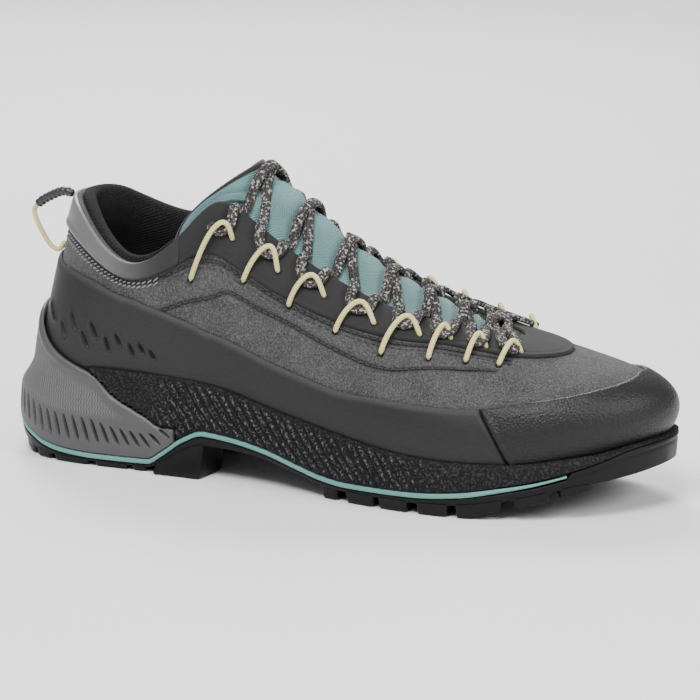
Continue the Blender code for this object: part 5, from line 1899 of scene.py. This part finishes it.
def build_outsole():
    """The rubber tread with its edge lugs, round lugs and toe bumper."""
    u = ways(0.0, 1.0, TREAD_STEP)[:-1]
    x = rib_value("edge_x", u)
    plate, top, shelf = along("plate", x), sill(x), along("shelf", x)
    under, corner, foot = TREAD_FOOT_INSETS
    rings = [edge_point(u, under, plate), edge_point(u, corner, plate + TREAD_LIFT)]
    toe = ramp(x, BUMPER_X)
    groove_at, groove_wide, groove_deep = BUMPER_GROOVE
    ridge_at, ridge_wide, ridge_high = BUMPER_RIDGE
    for part in np.linspace(0.0, 1.0, TREAD_ROWS):
        z = plate + GAP + part * (top - plate - GAP)
        inset = foot + part * (EDGE_INSET - foot) + drawn_in(top - z, TREAD_TOP_EDGE)
        inset = inset + groove_deep * toe * dip(top - z - groove_at, groove_wide)
        inset = inset - ridge_high * toe * dip(top - z - ridge_at, ridge_wide)
        rings.append(edge_point(u, inset, z))
    rings += [edge_point(u, shelf, top), edge_point(u, shelf + GAP, along("deck", x))]
    solid = stack_solid(rings)
    for lug in EDGE_LUGS:
        lug = dict(zip(LUG_COLUMNS, lug))
        back, front = (place_of(lug[name], lug["side"]) for name in ("back_x", "front_x"))
        ends = sorted((float(girth(back)), float(girth(front))))
        if ends[1] - ends[0] > HALF_ROUND:
            ends = sorted((float(girth(back - 1)), float(girth(front - 1))))
        lug_rings = []
        for down, tuck, flare in EDGE_LUG_RINGS:
            outline = rounded_outline(ends[0] + tuck, ends[1] - tuck,
                                      lug["outer"] - lug["flare"] * flare + tuck,
                                      lug["inner"] - tuck, LUG_CORNER,
                                      LUG_CORNER_POINTS)
            way = way_at(outline[:, 0])
            lug_rings.append(edge_point(way, outline[:, 1],
                                        lug_height(rib_value("edge_x", way), down)))
        add_lug(solid, lug_rings)
    for centre_x, centre_y, radius in ROUND_LUGS:
        turns = 2 * math.pi * np.arange(ROUND_LUG_POINTS) / ROUND_LUG_POINTS
        shape = 1 + ROUND_LUG_WAVE * np.cos(ROUND_LUG_LOBES * turns)
        lug_rings = []
        for down, tuck in ROUND_LUG_RINGS:
            reach = (radius - tuck) * shape
            flat_x = centre_x + reach * np.cos(turns)
            lug_rings.append(np.stack([flat_x, centre_y + reach * np.sin(turns),
                                       lug_height(flat_x, down)], -1))
        add_lug(solid, lug_rings)
    return solid.make("tread_sole", finish("outsole_rubber"), "outsole_rubber", ["outsole"],
                      sharp=SHARP_TREAD)


# Rows of stitches: name, thread and, for each row, its line, how far below it, the shares
# that it runs between and each stitch's slant in millimetres
STITCH_ROWS = (
    ("panel_stitches", "light", ((HIGH_SEAM, 0.0, 0.0, 0.31, 0.9),
                                 (HIGH_SEAM, -0.028, 0.0, 0.31, 0.9))),
    ("facing_stitches", "dark", ((HIGH_SEAM, 0.0, 0.31, 1.0, 0.0),
                                 (HIGH_SEAM, -0.032, 0.31, 1.0, 0.0))),
    ("side_stitches", "dark", ((LOW_SEAM, 0.0, 0.0, 1.0, 0.0),)),
)
STITCH_POINTS = 6
STITCH_SIDES = 6
STITCH_FROM = 0.14
STITCH_PART = 0.7
STITCH_FOOT = -0.12
STITCH_ARCH = 0.3


def build_stitches():
    """The rows of stitches on the collar strip, the facing and the suede."""
    half_wide, half_high = measure("stitch_half_width"), measure("stitch_half_height")
    t = np.linspace(0.0, 1.0, STITCH_POINTS)
    lift = STITCH_FOOT + STITCH_ARCH * np.sin(np.pi * t)
    for name, thread, rows in STITCH_ROWS:
        solid = Solid()
        for line, shift, start, stop, slant in rows:
            stops = np.array([(share, v + shift) for share, v in line])
            path = smooth_line(stops * SHARE_AND_V, measure("stitch_pitch")) / SHARE_AND_V
            path = path[(path[:, 0] > start) & (path[:, 0] < stop)]
            first, second = path[:-1, None], path[1:, None]
            parts = (STITCH_FROM + STITCH_PART * t)[None, :, None]
            spots = first + (second - first) * parts
            spots[..., 1] += slant * (t - 0.5) / SHARE_AND_V[1]
            for side in ("outer", "inner"):
                way = on_side(spots[..., 0], side)
                points = skin(way, spots[..., 1], lift)
                out = points - skin(way, spots[..., 1], lift - 1.0)
                for stitch, away in zip(points, out):
                    sweep(solid, stitch, away, half_wide, half_high, STITCH_SIDES)
        solid.make(name, finish("thread_" + thread), "facing_fabric", [])


# Lamps: name, place and size in metres, power in watts
LAMPS = (
    ("key_light", (0.15, -0.9, 1.35), 0.8, 30.0),
    ("back_light", (-0.5, 0.9, 1.0), 0.7, 22.0),
    ("side_light", (1.1, -0.2, 0.7), 0.5, 9.0),
)
LAMP_AIM = (0.09, 0.0, 0.05)
WORLD_STRENGTH = 0.5
FLOOR_UNDER = 0.0002


def build_stage():
    """The pale floor, soft studio light and the camera."""
    mesh = bpy.data.meshes.new("floor_sheet")
    reach = bpy.context.scene.shoe_sizes.floor_reach
    mesh.from_pydata([(-reach, -reach, 0), (reach, -reach, 0), (reach, reach, 0),
                      (-reach, reach, 0)], [], [(0, 1, 2, 3)])
    mesh.materials.append(finish("floor"))
    floor = bpy.data.objects.new("floor_sheet", mesh)
    floor.location.z = -FLOOR_UNDER
    bpy.context.scene.collection.objects.link(floor)
    world = bpy.data.worlds.new("studio")
    world.use_nodes = True
    background = world.node_tree.nodes["Background"]
    background.inputs["Color"].default_value = (1.0, 1.0, 1.0, 1.0)
    background.inputs["Strength"].default_value = WORLD_STRENGTH
    bpy.context.scene.world = world
    for name, place, across, power in LAMPS:
        data = bpy.data.lights.new(name, "AREA")
        data.shape, data.size, data.energy = "DISK", across, power
        light = bpy.data.objects.new(name, data)
        place = Vector(place)
        aim = (Vector(LAMP_AIM) - place).to_track_quat("-Z", "Y")
        light.matrix_world = Matrix.Translation(place) @ aim.to_matrix().to_4x4()
        bpy.context.scene.collection.objects.link(light)
    build_camera()


CAMERA_AIM = (0.095, 0.0, 0.050)
CAMERA_SHIFT = (0.0042, -0.0023)
CAMERA_FILM = 36.0
CAMERA_FAR = 50.0


def build_camera():
    """The camera at the photograph's viewing angle."""
    sizes = bpy.context.scene.shoe_sizes
    turn, rise = sizes.camera_turn, sizes.camera_rise
    right = Vector((math.cos(turn), math.sin(turn), 0.0))
    back = Vector((math.sin(turn) * math.cos(rise), -math.cos(turn) * math.cos(rise),
                   math.sin(rise)))
    up = back.cross(right)
    aim = Vector(CAMERA_AIM) + CAMERA_SHIFT[0] * right + CAMERA_SHIFT[1] * up
    data = bpy.data.cameras.new("camera")
    data.lens, data.sensor_width = sizes.camera_lens, CAMERA_FILM
    data.clip_end = CAMERA_FAR
    camera = bpy.data.objects.new("camera", data)
    axes = Matrix((right, up, back)).transposed().to_4x4()
    camera.matrix_world = Matrix.Translation(aim + sizes.camera_away * back) @ axes
    bpy.context.scene.collection.objects.link(camera)
    bpy.context.scene.camera = camera


def length(label, text, default):
    """A size in metres."""
    return bpy.props.FloatProperty(name=label, description=text, default=default, min=0.0,
                                   unit="LENGTH")


def colour(label, text, default):
    """A colour as three shares of light."""
    return bpy.props.FloatVectorProperty(name=label, description=text, default=default,
                                         size=3, subtype="COLOR", min=0.0, max=1.0)


class ShoeSizes(bpy.types.PropertyGroup):
    """Sizes that stand alone; the rest are worked out from the last's own tables."""

    lace_half_width: length("Lace half width", "Half the lace's width where it lies flat", 0.00195)
    lace_half_height: length("Lace half height",
                             "Half the lace's height where it lies flat", 0.00115)
    cord_radius: length("Cord radius", "Radius of the loops' and the pull loop's cord", 0.001)
    sleeve_radius: length("Sleeve radius",
                          "Radius of the pull loop's sleeve under its wrapping", 0.0018)
    rand_slot_half_width: length("Rand slot half width",
                                 "Half the width of a slot in the rand", 0.00075)
    rand_slot_depth: length("Rand slot depth", "Depth of a slot in the rand", 0.00125)
    cradle_slot_pitch: length("Cradle slot pitch",
                              "From one slot of the heel cradle to the next", 0.0043)
    cradle_slot_half_width: length("Cradle slot half width",
                                   "Half the width of a slot in the cradle", 0.00062)
    rib_pitch: length("Rib pitch", "From one rib of the midsole to the next", 0.0041)
    rib_height: length("Rib height", "Height of a midsole rib", 0.001)
    seam_depth: length("Seam depth", "Depth of the trough along a seam in the suede", 0.0003)
    stitch_pitch: length("Stitch pitch", "From one stitch to the next", 0.0027)
    stitch_half_width: length("Stitch half width", "Half the thread's width", 0.0003)
    stitch_half_height: length("Stitch half height", "Half the thread's height", 0.00024)
    tongue_swell: length("Tongue swell", "How far the tongue swells between the laces", 0.0011)
    floor_reach: length("Floor reach", "Half the floor's width", 3.0)
    camera_away: length("Camera distance", "From the camera to the shoe", 1.6)
    camera_lens: bpy.props.FloatProperty(
        name="Camera lens", description="Focal length of the camera",
        default=214.8, min=0.0, unit="CAMERA")
    camera_turn: bpy.props.FloatProperty(
        name="Camera turn", description="Turn of the camera about the upright axis",
        default=math.radians(25.0), unit="ROTATION", subtype="ANGLE")
    camera_rise: bpy.props.FloatProperty(
        name="Camera rise", description="Angle at which the camera looks down",
        default=math.radians(13.0), unit="ROTATION", subtype="ANGLE")


class ShoeColours(bpy.types.PropertyGroup):
    """Colours of the shoe's materials."""

    suede: colour("Suede", "Colour of the upper's suede", (0.050, 0.050, 0.051))
    rand: colour("Rand", "Colour of the smooth band round the upper", (0.014, 0.014, 0.0145))
    cap: colour("Toe cap", "Colour of the pebbled toe cap", (0.007, 0.007, 0.0075))
    cradle: colour("Heel cradle", "Colour of the moulded heel cradle", (0.062, 0.062, 0.064))
    panel: colour("Collar strip", "Colour of the satin strip round the collar",
                  (0.12, 0.12, 0.123))
    facing: colour("Facing", "Colour of the strip along the throat", (0.012, 0.012, 0.0125))
    lining: colour("Lining", "Colour of the collar's knit", (0.010, 0.010, 0.0105))
    tongue: colour("Tongue", "Colour of the woven tongue", (0.145, 0.29, 0.29))
    stripe: colour("Stripe", "Colour of the thin foam stripe", (0.11, 0.28, 0.25))
    sole: colour("Sole", "Colour of the outsole and midsole", (0.006, 0.006, 0.0063))
    lace: colour("Lace", "Colour of the lace's braid", (0.062, 0.057, 0.057))
    cord: colour("Cord", "Colour of the lace loops and the pull cord", (0.66, 0.60, 0.26))
    floor: colour("Floor", "Colour of the floor", (0.86, 0.86, 0.86))


INSOLE_KNIT_PITCH = 2.2
COLLAR_KNIT_PITCH = 1.3
SLEEVE_COLOUR = (0.02, 0.02, 0.021)
LIGHT_THREAD = (0.20, 0.20, 0.20)
DARK_THREAD = (0.022, 0.022, 0.022)
FINISHES = {}


def finish(name):
    """A material by name, all of them made once from the scene's colours."""
    if not FINISHES:
        colours = bpy.context.scene.shoe_colours
        suede, facing = tuple(colours.suede), tuple(colours.facing)
        FINISHES.update({
            "suede": suede_finish(suede),
            "rand_plastic": rand_finish(tuple(colours.rand), suede),
            "cap_rubber": cap_finish(tuple(colours.cap)),
            "cradle_plastic": cradle_finish(tuple(colours.cradle)),
            "panel_plastic": panel_finish(tuple(colours.panel), facing),
            "facing_fabric": facing_finish(facing),
            "lining_knit": knit_finish("collar_knit", tuple(colours.lining),
                                       COLLAR_KNIT_PITCH),
            "insole_foam": knit_finish("insole_cloth", tuple(colours.lining),
                                       INSOLE_KNIT_PITCH),
            "tongue_fabric": tongue_finish(tuple(colours.tongue), facing),
            "midsole_foam": midsole_finish(tuple(colours.sole)),
            "stripe_foam": stripe_finish(tuple(colours.stripe)),
            "outsole_rubber": outsole_finish(tuple(colours.sole)),
            "lace_cord": lace_finish(tuple(colours.lace)),
            "loop_cord": cord_finish(tuple(colours.cord)),
            "pull_sleeve": sleeve_finish(SLEEVE_COLOUR),
            "thread_light": thread_finish("thread_light", LIGHT_THREAD),
            "thread_dark": thread_finish("thread_dark", DARK_THREAD),
            "floor": floor_finish(tuple(colours.floor)),
        })
    return FINISHES[name]


class ShoeStep:
    """What every step shares: it runs its builders, and what they raise stops it."""

    builders = ()

    def execute(self, context):
        """Build this step's pieces."""
        for build in self.builders:
            build()
        return {"FINISHED"}


class SHOE_OT_upper(ShoeStep, bpy.types.Operator):
    """Build the suede upper."""

    bl_idname = "shoe.upper"
    bl_label = "Build upper"
    builders = (build_upper,)


class SHOE_OT_rand(ShoeStep, bpy.types.Operator):
    """Build the smooth band with its slots."""

    bl_idname = "shoe.rand"
    bl_label = "Build rand"
    builders = (build_rand,)


class SHOE_OT_cap(ShoeStep, bpy.types.Operator):
    """Build the pebbled toe cap."""

    bl_idname = "shoe.cap"
    bl_label = "Build toe cap"
    builders = (build_cap,)


class SHOE_OT_strips(ShoeStep, bpy.types.Operator):
    """Build the facing and the collar strip."""

    bl_idname = "shoe.strips"
    bl_label = "Build strips"
    builders = (build_facing, build_panel)


class SHOE_OT_stitches(ShoeStep, bpy.types.Operator):
    """Build the rows of stitches."""

    bl_idname = "shoe.stitches"
    bl_label = "Build stitches"
    builders = (build_stitches,)


class SHOE_OT_inside(ShoeStep, bpy.types.Operator):
    """Build the collar padding and the insole."""

    bl_idname = "shoe.inside"
    bl_label = "Build inside"
    builders = (build_lining, build_insole)


class SHOE_OT_tongue(ShoeStep, bpy.types.Operator):
    """Build the padded woven tongue."""

    bl_idname = "shoe.tongue"
    bl_label = "Build tongue"
    builders = (build_tongue,)


class SHOE_OT_laces(ShoeStep, bpy.types.Operator):
    """Build the lace and its loops."""

    bl_idname = "shoe.laces"
    bl_label = "Build laces"
    builders = (build_laces, build_loops)


class SHOE_OT_pull(ShoeStep, bpy.types.Operator):
    """Build the pull loop at the heel."""

    bl_idname = "shoe.pull"
    bl_label = "Build pull loop"
    builders = (build_pull_loop,)


class SHOE_OT_cradle(ShoeStep, bpy.types.Operator):
    """Build the slotted heel cradle."""

    bl_idname = "shoe.cradle"
    bl_label = "Build cradle"
    builders = (build_cradle,)


class SHOE_OT_midsole(ShoeStep, bpy.types.Operator):
    """Build the midsole and the stripe."""

    bl_idname = "shoe.midsole"
    bl_label = "Build midsole"
    builders = (build_midsole, build_stripe)


class SHOE_OT_tread(ShoeStep, bpy.types.Operator):
    """Build the tread with its lugs."""

    bl_idname = "shoe.tread"
    bl_label = "Build outsole"
    builders = (build_outsole,)


class SHOE_OT_stage(ShoeStep, bpy.types.Operator):
    """Build the floor, light and camera."""

    bl_idname = "shoe.stage"
    bl_label = "Build stage"
    builders = (build_stage,)


STEPS = (
    SHOE_OT_upper, SHOE_OT_rand, SHOE_OT_cap, SHOE_OT_strips, SHOE_OT_stitches,
    SHOE_OT_inside, SHOE_OT_tongue, SHOE_OT_laces, SHOE_OT_pull, SHOE_OT_cradle,
    SHOE_OT_midsole, SHOE_OT_tread, SHOE_OT_stage,
)


class SHOE_PT_panel(bpy.types.Panel):
    """The shoe's steps in the sidebar."""

    bl_label = "Approach shoe"
    bl_idname = "SHOE_PT_panel"
    bl_space_type = "VIEW_3D"
    bl_region_type = "UI"
    bl_category = "Shoe"

    def draw(self, context):
        """List the steps in their order."""
        for step in STEPS:
            self.layout.operator(step.bl_idname)


CLASSES = (ShoeSizes, ShoeColours) + STEPS + (SHOE_PT_panel,)


def register():
    """Register the classes and hang the settings on the scene."""
    for item in CLASSES:
        bpy.utils.register_class(item)
    bpy.types.Scene.shoe_sizes = bpy.props.PointerProperty(type=ShoeSizes)
    bpy.types.Scene.shoe_colours = bpy.props.PointerProperty(type=ShoeColours)


def unregister():
    """Take the settings and the classes away again."""
    del bpy.types.Scene.shoe_colours
    del bpy.types.Scene.shoe_sizes
    for item in reversed(CLASSES):
        bpy.utils.unregister_class(item)


def main():
    """Run every step in order."""
    register()
    for step in STEPS:
        getattr(bpy.ops.shoe, step.bl_idname.split(".")[1])()


if __name__ == "__main__":
    main()
